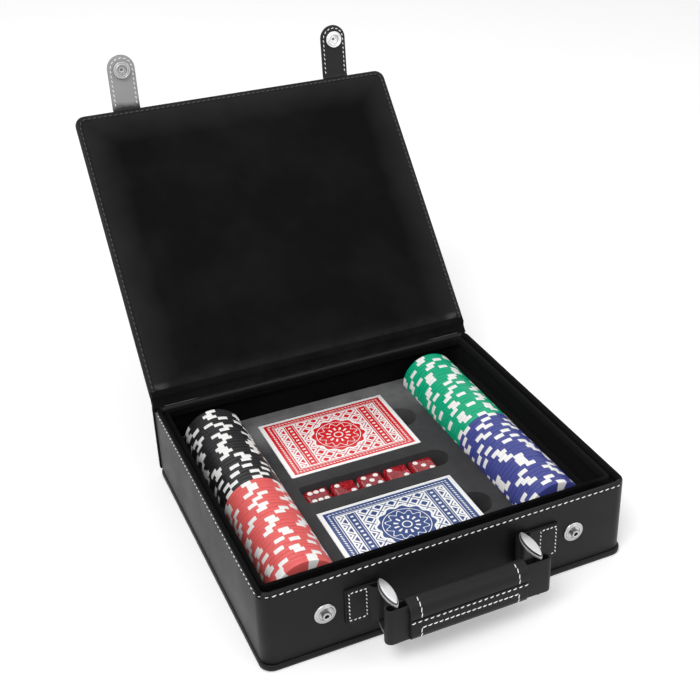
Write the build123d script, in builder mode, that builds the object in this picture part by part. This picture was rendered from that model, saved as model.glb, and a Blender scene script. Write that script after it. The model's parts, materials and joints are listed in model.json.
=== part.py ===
from build123d import *
import os
from math import atan2, cos, degrees, radians, sin

# Poker set case, lid open: a leather covered tray with a foam insert that holds two rows of
# chips, two boxed decks of cards and five dice. X is to the right along the front, Y to the back,
# Z up. The origin is at the middle of the tray, on the underside of the base. Millimetres.

# Contents
chip_diameter = 40.0
chip_thickness = 3.33
chip_gap = 0.05
chip_chamfer = 0.35
chip_inlay_diameter = 25.6
chip_inlay_depth = 0.12
chips_per_colour = 25
card_length = 88.0
card_width = 63.0
card_thickness = 0.29
card_gap = 0.01
card_corner = 3.5
cards_per_deck = 54
box_card = 0.4
box_length_play = 0.7
box_width_play = 0.4
box_height_play = 0.2
flap_clearance = 0.05
die_size = 16.0
die_edge = 1.6
die_pip_radius = 1.35
die_pip_depth = 0.35
die_pip_step = 4.1
dice_count = 5
die_gap = 2.15

# Foam insert
trough_clearance = 0.3
trough_floor = 3.3
trough_end_web = 5.6
row_slack = 3.1
row_back_gap = 1.0
foam_above_chip_middle = 1.0
side_margin = 9.4
web = 8.6
deck_clearance = 0.5
deck_margin = 11.3
deck_sink = 0.3
pocket_corner = 1.5
slot_web = 10.6
slot_clearance = 0.9
slot_end_room = 7.1
slot_corner = 2.0
die_sink = 3.1
seat_gap = 0.1
thumb_radius = 10.8
foam_clearance = 0.2
foam_corner = 4.0

# Tray
leather = 0.8
rim_leather = 1.1
wall_board = 2.7
wall_lining = 1.4
lining_corner = 4.5
lip_depth = 4.1
lip_corner = 4.1
lining_lip = 2.5
lining_lip_groove = 0.5
lining_lip_front = 3.2
lining_lip_front_groove = 4.5
lining_lip_corner = 3.4
lining_lip_sink = 1.7
lining_ledge = 2.4
rim_round = 1.0
tray_corner = 8.2
base_thickness = 4.1
base_corner = 9.2
overhang = 1.0
spine_thickness = 2.5
lid_room = 5.6

# Lid
lid_open = 132.0
lid_clearance = 0.3
lid_board_thickness = 2.5
lid_lining = 1.2
lid_border = 3.7
lid_corner = 8.2
hinge_back = 0.4
hinge_gap = 3.0
hinge_strip_thickness = 1.8
hinge_strip_inset = 0.3

# Closing straps and snaps
strap_inset = 36.3
strap_width = 19.0
strap_thickness = 2.0
strap_gap = 0.2
strap_curl = 38.0
strap_tip_room = 0.5
snap_radius = 6.4
stud_flange = 0.9
stud_ring = 0.35
stud_ring_width = 1.2
stud_post_radius = 2.65
stud_post_height = 3.3
stud_hole_radius = 0.9
stud_hole_depth = 2.2
socket_radius = 5.9
socket_thickness = 2.6
socket_bore = 3.45
socket_stand = 1.25
socket_round = 0.5
cap_thickness = 1.8
cap_round = 1.3
rivet_radius = 1.5
rivet_head_radius = 4.0
rivet_head = 0.8
rivet_flare_radius = 2.3
rivet_flare = 0.5

# Handle
tab_gap = 1.8
tab_length = 23.1
tab_layer = 1.2
tab_taper = 9.2
band_height = 23.1
band_thickness = 1.4
ring_wire = 3.1
ring_pitch = 19.5
ring_plate_half_width = 3.5
ring_plate_thickness = 3.1
ring_plate_overrun = 2.0
ring_plate_round = 1.0
ring_seat_gap = 0.3
bar_clearance = 0.5
wall_clearance = 0.2
loop_length = 14.6
loop_thickness = 7.2
loop_beyond_bar = 6.9
core_inset = 1.0
grip_thickness = 13.3
grip_height = 25.6
grip_round = 6.2
handle_shift = -3.0
grip_shift = -2.0

# Sizes that follow from the contents
chip_pitch = chip_thickness + chip_gap
chip_radius = chip_diameter / 2
trough_radius = chip_radius + trough_clearance
stack_length = chips_per_colour * chip_pitch
box_length = card_length + 2 * (box_card + box_length_play)
box_width = card_width + 2 * (box_card + box_width_play)
box_height = cards_per_deck * (card_thickness + card_gap) + box_height_play + 2 * box_card
pocket_length = box_length + 2 * deck_clearance
pocket_width = box_width + 2 * deck_clearance
slot_width = die_size + 2 * slot_clearance
foam_width = 2 * (side_margin + 2 * trough_radius + web) + pocket_length + thumb_radius
deck_run = 2 * (deck_margin + pocket_width + slot_web) + slot_width
row_run = 2 * (stack_length + trough_end_web) + row_slack + row_back_gap
foam_depth = max(deck_run, row_run)

# Heights
trough_z = base_thickness + trough_floor + trough_radius
foam_top = trough_z + foam_above_chip_middle
rim_z = trough_z + chip_radius + lid_room
middle_z = (base_thickness + rim_z) / 2

# Tray outlines, as full widths and depths
lining_space = 2 * foam_clearance
inner_width = foam_width + lining_space
inner_depth = foam_depth + lining_space
board_inner_width = inner_width + 2 * wall_lining
board_inner_depth = inner_depth + 2 * wall_lining
board_width = board_inner_width + 2 * wall_board
board_depth = board_inner_depth + 2 * wall_board
case_width = board_width + 2 * leather
case_depth = board_depth + 2 * leather
turned_in_width = board_inner_width - 2 * leather
turned_in_depth = board_inner_depth - 2 * leather
lip_outer_x = turned_in_width / 2 - lining_lip_groove
lip_outer_back = turned_in_depth / 2 - lining_lip_groove
lip_outer_front = lining_lip_front_groove - turned_in_depth / 2
lip_inner_x = lip_outer_x - lining_lip
lip_inner_back = lip_outer_back - lining_lip
lip_inner_front = lip_outer_front + lining_lip_front
front_y = -case_depth / 2
back_y = case_depth / 2
spine_y = back_y + spine_thickness
base_width = case_width + 2 * overhang
base_front_y = front_y - overhang
base_back_y = spine_y + overhang
base_middle_y = (base_front_y + base_back_y) / 2
base_depth = base_back_y - base_front_y

# Places of the contents
trough_length = foam_depth - 2 * trough_end_web
row_x = foam_width / 2 - side_margin - trough_radius
row_back_y = trough_length / 2 - row_back_gap
pocket_left = -(row_x - trough_radius - web)
pocket_x = pocket_left + pocket_length / 2
pocket_right = pocket_left + pocket_length
deck_y = slot_width / 2 + slot_web + pocket_width / 2
deck_floor = foam_top - deck_sink - box_height - seat_gap
die_floor = foam_top - die_sink - die_size - seat_gap
die_pitch = die_size + die_gap
slot_length = dice_count * die_pitch + slot_end_room + 2 * slot_clearance
first_die_x = pocket_left + slot_clearance + die_pitch / 2

# Lid hinge and lid plane: local x to the right, local y from the hinge to the lid's front
# edge, local z out of the lid's inner face
lid_thickness = leather + lid_board_thickness + lid_lining
hinge_y = back_y + hinge_back
hinge_z = rim_z + lid_clearance + lid_thickness / 2
lid_up = (0, -cos(radians(lid_open)), sin(radians(lid_open)))
lid_inward = (0, -sin(radians(lid_open)), -cos(radians(lid_open)))
lid_plane = Plane(origin=(0, hinge_y, hinge_z), x_dir=(1, 0, 0), z_dir=lid_inward)
lid_length = hinge_y - front_y + overhang
lid_middle = (hinge_gap + lid_length) / 2
lid_run = lid_length - hinge_gap
board_face = lid_thickness / 2 - lid_lining

# Closing straps: local y from the fold to the tip, local z out of the strap's inner face
strap_x = case_width / 2 - strap_inset
fold_along = lid_length + strap_gap + strap_thickness / 2
fold_y = hinge_y + fold_along * lid_up[1]
fold_z = hinge_z + fold_along * lid_up[2]
curl_angle = radians(lid_open - strap_curl)
strap_inward = (0, -sin(curl_angle), -cos(curl_angle))
stud_z = middle_z
latched_offset = stud_flange + socket_stand + socket_thickness + strap_thickness / 2
latched_drop = hinge_z - stud_z
fold_offset = overhang + strap_gap + strap_thickness / 2
latch_angle = atan2(latched_offset - fold_offset, latched_drop)
socket_along = latched_drop / cos(latch_angle)
strap_length = socket_along + strap_tip_room

# Handle
tab_outer_x = strap_x - strap_width / 2 - tab_gap
bar_x = tab_outer_x - tab_length
tab_thickness = 2 * tab_layer
loop_inner = ring_wire / 2 + bar_clearance
loop_outer = loop_inner + band_thickness
wall_bar_y = front_y - wall_clearance - loop_outer
outer_bar_y = wall_bar_y - ring_pitch
band_bottom = middle_z - band_height / 2
band_top = middle_z + band_height / 2
ring_gap_bottom = band_bottom - ring_seat_gap
ring_gap_top = band_top + ring_seat_gap
handle_half_length = bar_x + loop_beyond_bar
grip_half_length = handle_half_length - loop_length

os.makedirs("parts", exist_ok=True)


def save(builder, name):
    """Label a finished piece and write it as parts/NAME.step."""
    builder.part.label = name
    export_step(builder.part, f"parts/{name}.step")


# Base: a board in a leather wrap that is open at the top
with BuildPart() as base_cover:
    with BuildSketch() as outline:
        with Locations((0, base_middle_y)):
            RectangleRounded(base_width, base_depth, base_corner)
    extrude(amount=base_thickness)
    with BuildSketch(Plane.XY.offset(leather)):
        with Locations((0, base_middle_y)):
            RectangleRounded(
                base_width - 2 * leather, base_depth - 2 * leather, base_corner - leather
            )
    extrude(amount=base_thickness - leather, mode=Mode.SUBTRACT)
save(base_cover, "base_cover")

with BuildPart() as base_board:
    with BuildSketch(Plane.XY.offset(leather)):
        with Locations((0, base_middle_y)):
            RectangleRounded(
                base_width - 2 * leather, base_depth - 2 * leather, base_corner - leather
            )
    extrude(amount=base_thickness - leather)
save(base_board, "base_board")

# Four wall boards, butted at the corners, with the outer corners rounded off together
board_z = base_thickness
board_height = rim_z - rim_leather - base_thickness
side_x = (board_inner_width + wall_board) / 2
end_y = (board_inner_depth + wall_board) / 2
board_plans = {
    "wall_board_front": (0, -end_y, board_width, wall_board),
    "wall_board_back": (0, end_y, board_width, wall_board),
    "wall_board_left": (-side_x, 0, wall_board, board_inner_depth),
    "wall_board_right": (side_x, 0, wall_board, board_inner_depth),
}
for board_name, (plan_x, plan_y, plan_width, plan_depth) in board_plans.items():
    with BuildPart() as wall:
        with BuildSketch(Plane.XY.offset(board_z)):
            with Locations((plan_x, plan_y)):
                Rectangle(plan_width, plan_depth)
            RectangleRounded(
                board_width, board_depth, tray_corner - leather, mode=Mode.INTERSECT
            )
        extrude(amount=board_height)
        if board_name == "wall_board_front":
            inner_face = Plane(
                origin=(0, -board_inner_depth / 2, middle_z), x_dir=(-1, 0, 0), z_dir=(0, 1, 0)
            )
            with Locations(inner_face):
                with Locations((-strap_x, 0), (strap_x, 0)):
                    CounterBoreHole(rivet_radius, rivet_head_radius, rivet_head, wall_board)
    save(wall, board_name)

# Leather over the outside of the walls, over the rim and a little way down inside
with BuildPart() as tray_cover:
    with BuildSketch(Plane.XY.offset(base_thickness)):
        RectangleRounded(case_width, case_depth, tray_corner)
        RectangleRounded(board_width, board_depth, tray_corner - leather, mode=Mode.SUBTRACT)
    extrude(amount=rim_z - base_thickness)
    with BuildSketch(Plane.XY.offset(rim_z - rim_leather)):
        RectangleRounded(board_width, board_depth, tray_corner - leather)
        RectangleRounded(
            turned_in_width, turned_in_depth, lip_corner, mode=Mode.SUBTRACT
        )
    extrude(amount=rim_leather)
    with BuildSketch(Plane.XY.offset(rim_z - lip_depth)):
        Rectangle(board_inner_width, board_inner_depth)
        RectangleRounded(
            turned_in_width, turned_in_depth, lip_corner, mode=Mode.SUBTRACT
        )
    extrude(amount=lip_depth - rim_leather)
    rim_face = tray_cover.faces().sort_by(Axis.Z)[-1]
    fillet(rim_face.outer_wire().edges(), rim_round)
    front_plane = Plane(origin=(0, front_y, stud_z), x_dir=(1, 0, 0), z_dir=(0, -1, 0))
    with Locations(front_plane):
        with Locations((-strap_x, 0), (strap_x, 0)):
            Hole(rivet_radius, leather)
save(tray_cover, "tray_cover")

# Flocked lining of the inside walls, below the turned-in leather, with a ledge and a lip that
# stands up inside the rim
lip_hole_y = (lip_inner_front + lip_inner_back) / 2
lip_hole_depth = lip_inner_back - lip_inner_front
with BuildPart() as tray_lining:
    with BuildSketch(Plane.XY.offset(base_thickness)):
        Rectangle(board_inner_width, board_inner_depth)
        RectangleRounded(inner_width, inner_depth, lining_corner, mode=Mode.SUBTRACT)
    extrude(amount=rim_z - lip_depth - base_thickness)
    with BuildSketch(Plane.XY.offset(rim_z - lip_depth - lining_ledge)):
        Rectangle(board_inner_width, board_inner_depth)
        with Locations((0, lip_hole_y)):
            RectangleRounded(
                2 * lip_inner_x, lip_hole_depth, lining_lip_corner, mode=Mode.SUBTRACT
            )
    extrude(amount=lining_ledge)
    with BuildSketch(Plane.XY.offset(rim_z - lip_depth)):
        with Locations((0, (lip_outer_front + lip_outer_back) / 2)):
            RectangleRounded(2 * lip_outer_x, lip_outer_back - lip_outer_front, lip_corner)
        with Locations((0, lip_hole_y)):
            RectangleRounded(
                2 * lip_inner_x, lip_hole_depth, lining_lip_corner, mode=Mode.SUBTRACT
            )
    extrude(amount=lip_depth - lining_lip_sink)
save(tray_lining, "tray_lining")

# Foam insert with two round troughs, two deck pockets with thumb notches and a dice slot
with BuildPart() as foam_insert:
    with BuildSketch(Plane.XY.offset(base_thickness)):
        RectangleRounded(foam_width, foam_depth, foam_corner)
    extrude(amount=foam_top - base_thickness)
    with BuildSketch(Plane.XZ.offset(-trough_length / 2)):
        with Locations((-row_x, trough_z), (row_x, trough_z)):
            Circle(trough_radius)
            Rectangle(
                2 * trough_radius,
                foam_above_chip_middle,
                align=(Align.CENTER, Align.MIN),
            )
    extrude(amount=trough_length, mode=Mode.SUBTRACT)
    with BuildSketch(Plane.XY.offset(deck_floor)):
        with Locations((pocket_x, -deck_y), (pocket_x, deck_y)):
            RectangleRounded(pocket_length, pocket_width, pocket_corner)
        with Locations((pocket_right, -deck_y), (pocket_right, deck_y)):
            Circle(thumb_radius)
    extrude(amount=foam_top - deck_floor, mode=Mode.SUBTRACT)
    with BuildSketch(Plane.XY.offset(die_floor)):
        with Locations((pocket_left, 0)):
            RectangleRounded(
                slot_length - slot_width / 2, slot_width, slot_corner, align=(Align.MIN, Align.CENTER)
            )
        with Locations((pocket_left + slot_width, 0)):
            Rectangle(
                slot_length - slot_width * 1.5, slot_width, align=(Align.MIN, Align.CENTER)
            )
        with Locations((pocket_left + slot_length - slot_width / 2, 0)):
            Circle(slot_width / 2)
    extrude(amount=foam_top - die_floor, mode=Mode.SUBTRACT)
save(foam_insert, "foam_insert")

# Spine panel glued to the back wall: a board in leather
with BuildPart() as spine_board:
    with BuildSketch(Plane.XY.offset(base_thickness)):
        with Locations((0, back_y)):
            Rectangle(
                base_width - 2 * leather, spine_thickness - leather, align=(Align.CENTER, Align.MIN)
            )
    extrude(amount=rim_z - leather - base_thickness)
save(spine_board, "spine_board")

with BuildPart() as spine_cover:
    with BuildSketch(Plane.XY.offset(base_thickness)):
        with Locations((0, back_y)):
            Rectangle(base_width, spine_thickness, align=(Align.CENTER, Align.MIN))
    extrude(amount=rim_z - base_thickness)
    with BuildSketch(Plane.XY.offset(base_thickness)):
        with Locations((0, back_y)):
            Rectangle(
                base_width - 2 * leather, spine_thickness - leather, align=(Align.CENTER, Align.MIN)
            )
    extrude(amount=rim_z - leather - base_thickness, mode=Mode.SUBTRACT)
save(spine_cover, "spine_cover")

# Leather hinge strip between the top of the spine and the back edge of the lid
spine_middle_y = back_y + spine_thickness / 2
half_strip = hinge_strip_thickness / 2


def lid_point(along, out):
    """A point of the lid plane as (y, z): along from the hinge, out of the inner face."""
    y = hinge_y + along * lid_up[1] + out * lid_inward[1]
    z = hinge_z + along * lid_up[2] + out * lid_inward[2]
    return (y, z)


with BuildPart() as hinge_strip:
    with BuildSketch(Plane.YZ):
        Polygon(
            (spine_middle_y - half_strip, rim_z),
            (spine_middle_y + half_strip, rim_z),
            lid_point(hinge_gap, -half_strip),
            lid_point(hinge_gap, half_strip),
            align=None,
        )
    extrude(amount=base_width / 2 - hinge_strip_inset, both=True)
save(hinge_strip, "hinge_strip")

# Lid: a board in leather that turns in round the border, and a lining panel inside it. Its two
# corners at the hinge are square
with BuildPart() as lid_cover:
    with BuildSketch(lid_plane.offset(-lid_thickness / 2)):
        with Locations((0, lid_middle)):
            RectangleRounded(base_width, lid_run, lid_corner)
        with Locations((0, hinge_gap)):
            Rectangle(base_width, lid_run / 2, align=(Align.CENTER, Align.MIN))
    extrude(amount=lid_thickness - lid_lining + leather)
    with BuildSketch(lid_plane.offset(leather - lid_thickness / 2)):
        with Locations((0, lid_middle)):
            RectangleRounded(
                base_width - 2 * leather, lid_run - 2 * leather, lid_corner - leather
            )
        with Locations((0, hinge_gap + leather)):
            Rectangle(base_width - 2 * leather, lid_run / 2, align=(Align.CENTER, Align.MIN))
    extrude(amount=lid_board_thickness, mode=Mode.SUBTRACT)
    with BuildSketch(lid_plane.offset(board_face)):
        with Locations((0, lid_middle)):
            RectangleRounded(
                base_width - 2 * lid_border, lid_run - 2 * lid_border, lid_corner - lid_border
            )
    extrude(amount=leather, mode=Mode.SUBTRACT)
save(lid_cover, "lid_cover")

with BuildPart() as lid_board:
    with BuildSketch(lid_plane.offset(leather - lid_thickness / 2)):
        with Locations((0, lid_middle)):
            RectangleRounded(
                base_width - 2 * leather, lid_run - 2 * leather, lid_corner - leather
            )
        with Locations((0, hinge_gap + leather)):
            Rectangle(base_width - 2 * leather, lid_run / 2, align=(Align.CENTER, Align.MIN))
    extrude(amount=lid_board_thickness)
save(lid_board, "lid_board")

with BuildPart() as lid_lining_panel:
    with BuildSketch(lid_plane.offset(board_face)):
        with Locations((0, lid_middle)):
            RectangleRounded(
                base_width - 2 * lid_border, lid_run - 2 * lid_border, lid_corner - lid_border
            )
    extrude(amount=lid_lining)
save(lid_lining_panel, "lid_lining")

# Studs on the front wall, with the rivets that hold them, and the closing straps
for side, side_name in ((-1, "left"), (1, "right")):
    stud_plane = Plane(
        origin=(side * strap_x, front_y, stud_z), x_dir=(1, 0, 0), z_dir=(0, -1, 0)
    )
    with BuildPart() as snap_stud:
        with BuildSketch(stud_plane):
            Circle(snap_radius)
        extrude(amount=stud_flange)
        with BuildSketch(stud_plane.offset(stud_flange)):
            Circle(stud_post_radius + 2 * stud_ring_width)
            Circle(stud_post_radius + stud_ring_width, mode=Mode.SUBTRACT)
        extrude(amount=stud_ring)
        with BuildSketch(stud_plane):
            Circle(stud_post_radius)
        extrude(amount=stud_post_height)
        with BuildSketch(stud_plane.offset(stud_post_height)):
            Circle(stud_hole_radius)
        extrude(amount=-stud_hole_depth, mode=Mode.SUBTRACT)
    save(snap_stud, f"snap_stud_{side_name}")

    with BuildPart() as stud_rivet:
        with BuildSketch(stud_plane):
            Circle(rivet_radius)
        extrude(amount=-(leather + wall_board))
        with BuildSketch(stud_plane.offset(-(leather + wall_board))):
            Circle(rivet_head_radius)
        extrude(amount=rivet_head)
    save(stud_rivet, f"stud_rivet_{side_name}")

    strap_plane = Plane(
        origin=(side * strap_x, fold_y, fold_z), x_dir=(1, 0, 0), z_dir=strap_inward
    )
    with BuildPart() as closing_strap:
        with BuildSketch(strap_plane.offset(-strap_thickness / 2)):
            Rectangle(strap_width, strap_length, align=(Align.CENTER, Align.MIN))
            with Locations((0, strap_length)):
                Circle(strap_width / 2)
        extrude(amount=strap_thickness)
        with Locations(strap_plane):
            Cylinder(strap_thickness / 2, strap_width, rotation=(0, 90, 0))
        with BuildSketch(strap_plane.offset(-strap_thickness / 2)):
            with Locations((0, socket_along)):
                Circle(rivet_radius)
        extrude(amount=strap_thickness, mode=Mode.SUBTRACT)
    save(closing_strap, f"closing_strap_{side_name}")

    with BuildPart() as snap_cap:
        with BuildSketch(strap_plane.offset(-strap_thickness / 2)):
            with Locations((0, socket_along)):
                Circle(snap_radius)
        extrude(amount=-cap_thickness)
        cap_face = snap_cap.faces().sort_by(Axis(strap_plane.origin, strap_plane.z_dir))[0]
        fillet(cap_face.edges(), cap_round)
        with BuildSketch(strap_plane.offset(-strap_thickness / 2)):
            with Locations((0, socket_along)):
                Circle(rivet_radius)
        extrude(amount=strap_thickness + rivet_flare)
        with BuildSketch(strap_plane.offset(strap_thickness / 2)):
            with Locations((0, socket_along)):
                Circle(rivet_flare_radius)
        extrude(amount=rivet_flare)
    save(snap_cap, f"snap_cap_{side_name}")

    with BuildPart() as snap_socket:
        with BuildSketch(strap_plane.offset(strap_thickness / 2)):
            with Locations((0, socket_along)):
                Circle(socket_radius)
                Circle(socket_bore, mode=Mode.SUBTRACT)
        extrude(amount=socket_thickness)
        socket_face = snap_socket.faces().sort_by(Axis(strap_plane.origin, strap_plane.z_dir))[-1]
        fillet(socket_face.outer_wire().edges(), socket_round)
    save(snap_socket, f"snap_socket_{side_name}")

# Handle: a folded tab on each side, a ring in each tab, and the handle between the rings
for side, side_name in ((-1, "left"), (1, "right")):
    ring_x = handle_shift + side * bar_x
    tab_end_x = side * tab_outer_x
    with BuildPart() as handle_tab:
        with BuildSketch(Plane.XY.offset(band_bottom)):
            with Locations((ring_x, wall_bar_y)):
                Circle(loop_outer)
            with Locations((ring_x + side * tab_taper, front_y)):
                Rectangle(tab_layer, tab_thickness, align=(Align.CENTER, Align.MAX))
            make_hull()
            with Locations(((ring_x + tab_end_x) / 2, front_y)):
                Rectangle(
                    abs(tab_end_x - ring_x), tab_thickness, align=(Align.CENTER, Align.MAX)
                )
            with Locations((ring_x, wall_bar_y)):
                Circle(loop_inner, mode=Mode.SUBTRACT)
        extrude(amount=band_height)
    save(handle_tab, f"handle_tab_{side_name}")

    with BuildPart() as handle_ring:
        ring_middle_y = (wall_bar_y + outer_bar_y) / 2
        with BuildSketch(
            Plane.XY.offset(ring_gap_bottom - ring_plate_thickness), Plane.XY.offset(ring_gap_top)
        ):
            with Locations((ring_x, ring_middle_y)):
                Ellipse(ring_plate_half_width, ring_pitch / 2 + ring_plate_overrun)
        extrude(amount=ring_plate_thickness)
        fillet(handle_ring.edges().group_by(Axis.Z)[0], ring_plate_round)
        fillet(handle_ring.edges().group_by(Axis.Z)[-1], ring_plate_round)
        with BuildSketch(Plane.XY.offset(ring_gap_bottom)):
            with Locations((ring_x, wall_bar_y), (ring_x, outer_bar_y)):
                Circle(ring_wire / 2)
        extrude(amount=ring_gap_top - ring_gap_bottom)
    save(handle_ring, f"handle_ring_{side_name}")

handle_plane = Plane.XY.offset(band_bottom)
grip_x = handle_shift + grip_shift
with BuildPart() as handle_strap:
    with BuildSketch(handle_plane):
        with Locations((handle_shift, outer_bar_y)):
            SlotOverall(2 * handle_half_length, loop_thickness)
            SlotOverall(
                2 * (handle_half_length - band_thickness),
                loop_thickness - 2 * band_thickness,
                mode=Mode.SUBTRACT,
            )
    extrude(amount=band_height)
save(handle_strap, "handle_strap")

with BuildPart() as handle_core:
    with BuildSketch(handle_plane):
        with Locations((grip_x, outer_bar_y)):
            Rectangle(2 * (grip_half_length - core_inset), loop_thickness - 2 * band_thickness)
    extrude(amount=band_height)
save(handle_core, "handle_core")

with BuildPart() as handle_grip:
    with BuildSketch(Plane.YZ.offset(grip_x)):
        with Locations((outer_bar_y, middle_z)):
            RectangleRounded(grip_thickness, grip_height, grip_round)
            Rectangle(loop_thickness, band_height, mode=Mode.SUBTRACT)
    extrude(amount=grip_half_length, both=True)
save(handle_grip, "handle_grip")

# Chips: four stacks of one colour, two in each trough, each chip its own solid
with BuildPart() as chip:
    Cylinder(chip_radius, chip_thickness, rotation=(90, 0, 0))
    chamfer(chip.edges().filter_by(GeomType.CIRCLE), chip_chamfer)
    for chip_face in (chip.faces().sort_by(Axis.Y)[0], chip.faces().sort_by(Axis.Y)[-1]):
        with BuildSketch(chip_face):
            Circle(chip_inlay_diameter / 2)
        extrude(amount=-chip_inlay_depth, mode=Mode.SUBTRACT)

stacks = {
    "chips_black": (-row_x, 0),
    "chips_red": (-row_x, stack_length),
    "chips_green": (row_x, 0),
    "chips_blue": (row_x, stack_length),
}
for stack_name, (stack_x, stack_start) in stacks.items():
    first_y = row_back_y - stack_start - chip_pitch / 2
    with BuildPart() as stack:
        with Locations(
            *[(stack_x, first_y - k * chip_pitch, trough_z) for k in range(chips_per_colour)]
        ):
            add(chip.part)
    save(stack, stack_name)

# Card boxes: a folded card box open at the right end, an end flap in its mouth, and the cards
for deck_name, deck_middle_y in (("blue", -deck_y), ("red", deck_y)):
    box_floor = deck_floor + seat_gap
    box_left = pocket_x - box_length / 2
    with BuildPart() as card_box:
        with Locations((box_left, deck_middle_y, box_floor)):
            Box(box_length, box_width, box_height, align=(Align.MIN, Align.CENTER, Align.MIN))
        with Locations((box_left + box_card, deck_middle_y, box_floor + box_card)):
            Box(
                box_length - box_card,
                box_width - 2 * box_card,
                box_height - 2 * box_card,
                align=(Align.MIN, Align.CENTER, Align.MIN),
                mode=Mode.SUBTRACT,
            )
        flap_floor = box_floor + box_card + flap_clearance
        with Locations((box_left + box_length - box_card, deck_middle_y, flap_floor)):
            Box(
                box_card,
                box_width - 2 * (box_card + flap_clearance),
                box_height - 2 * (box_card + flap_clearance),
                align=(Align.MIN, Align.CENTER, Align.MIN),
            )
    save(card_box, f"card_box_{deck_name}")

    with BuildPart() as card:
        with BuildSketch():
            RectangleRounded(card_length, card_width, card_corner)
        extrude(amount=card_thickness)
    card_pitch = card_thickness + card_gap
    first_z = box_floor + box_card + card_gap
    with BuildPart() as deck:
        with Locations(
            *[(pocket_x, deck_middle_y, first_z + k * card_pitch) for k in range(cards_per_deck)]
        ):
            add(card.part)
    save(deck, f"card_deck_{deck_name}")

# Dice with sunk pips, opposite faces adding up to seven
pip_grids = {
    1: [(0, 0)],
    2: [(-1, -1), (1, 1)],
    3: [(-1, -1), (0, 0), (1, 1)],
    4: [(-1, -1), (-1, 1), (1, -1), (1, 1)],
    5: [(-1, -1), (-1, 1), (0, 0), (1, -1), (1, 1)],
    6: [(-1, -1), (0, -1), (1, -1), (-1, 1), (0, 1), (1, 1)],
}
with BuildPart() as die:
    Box(die_size, die_size, die_size)
    fillet(die.edges(), die_edge)
    half_die = die_size / 2
    face_planes = {
        1: Plane((0, 0, half_die), x_dir=(1, 0, 0), z_dir=(0, 0, 1)),
        6: Plane((0, 0, -half_die), x_dir=(1, 0, 0), z_dir=(0, 0, -1)),
        2: Plane((0, -half_die, 0), x_dir=(1, 0, 0), z_dir=(0, -1, 0)),
        5: Plane((0, half_die, 0), x_dir=(1, 0, 0), z_dir=(0, 1, 0)),
        3: Plane((half_die, 0, 0), x_dir=(0, 1, 0), z_dir=(1, 0, 0)),
        4: Plane((-half_die, 0, 0), x_dir=(0, 1, 0), z_dir=(-1, 0, 0)),
    }
    for number, face_plane in face_planes.items():
        with BuildSketch(face_plane):
            with Locations(
                *[(die_pip_step * i, die_pip_step * j) for i, j in pip_grids[number]]
            ):
                Circle(die_pip_radius)
        extrude(amount=-die_pip_depth, mode=Mode.SUBTRACT)

# Each die as it lies, from the left: turns about X, Y and Z, in degrees
die_turns = [(180, 0, 0), (-90, -90, 0), (90, 0, 0), (-90, -90, 0), (0, -90, 0)]
die_z = die_floor + seat_gap + half_die
for die_index in range(dice_count):
    die_x = first_die_x + die_index * die_pitch
    with BuildPart() as placed_die:
        with Locations(Location((die_x, 0, die_z), die_turns[die_index % len(die_turns)])):
            add(die.part)
    save(placed_die, f"die_{die_index + 1}")

# What the motion needs, in words: the hinge lines and the strap's travel
print(f"case {case_width:.1f} x {case_depth:.1f} x {rim_z:.1f}")
print(f"lid hinge y {hinge_y:.2f} z {hinge_z:.2f}, strap fold y {fold_y:.2f} z {fold_z:.2f}")
print(f"strap x {strap_x:.2f}, stud z {stud_z:.2f}, latch angle {degrees(latch_angle):.2f}")
print(f"bar x {bar_x:.2f}, wall bar y {wall_bar_y:.2f}, outer bar y {outer_bar_y:.2f}")
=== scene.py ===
# %% [markdown]
# A poker set case, lid open: black imitation leather with white stitching, nickel snaps and a
# handle on two rings. Inside, a foam insert holds two rows of chips, two card boxes and five dice.
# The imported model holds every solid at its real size. This file dresses it, piece by piece, and
# sets the camera and the light. Lengths are in metres, so a millimetre is written as 1 * MM.

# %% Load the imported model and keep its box
import json
import math
import random

import bpy
from mathutils import Matrix, Vector


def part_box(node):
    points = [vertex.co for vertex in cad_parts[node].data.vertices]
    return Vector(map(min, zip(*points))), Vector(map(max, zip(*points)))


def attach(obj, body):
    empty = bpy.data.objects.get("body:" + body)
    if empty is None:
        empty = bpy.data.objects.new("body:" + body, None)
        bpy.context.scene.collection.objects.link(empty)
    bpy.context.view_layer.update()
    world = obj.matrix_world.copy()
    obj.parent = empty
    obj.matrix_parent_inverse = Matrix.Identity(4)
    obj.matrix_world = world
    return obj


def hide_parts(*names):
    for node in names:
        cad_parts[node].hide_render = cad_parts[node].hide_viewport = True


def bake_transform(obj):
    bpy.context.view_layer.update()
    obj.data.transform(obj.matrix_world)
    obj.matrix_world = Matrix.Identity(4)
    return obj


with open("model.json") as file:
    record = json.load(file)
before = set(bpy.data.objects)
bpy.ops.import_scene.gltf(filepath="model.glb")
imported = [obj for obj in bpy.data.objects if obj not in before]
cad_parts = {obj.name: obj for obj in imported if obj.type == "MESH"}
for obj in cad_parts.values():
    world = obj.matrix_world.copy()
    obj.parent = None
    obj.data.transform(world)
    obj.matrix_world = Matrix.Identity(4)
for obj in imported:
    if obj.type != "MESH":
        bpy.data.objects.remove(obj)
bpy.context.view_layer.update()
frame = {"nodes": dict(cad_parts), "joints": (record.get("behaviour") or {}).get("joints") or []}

MM = 0.001
bpy.ops.object.select_all(action="DESELECT")

# %% [markdown]
# Every piece starts as a primitive, is shaped in edit mode and is finished with modifiers. An
# operator works on whatever is selected, so two small helpers do the choosing: one takes a whole
# piece, the other takes the faces, edges or vertices of its mesh that pass a test of their place.

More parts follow.
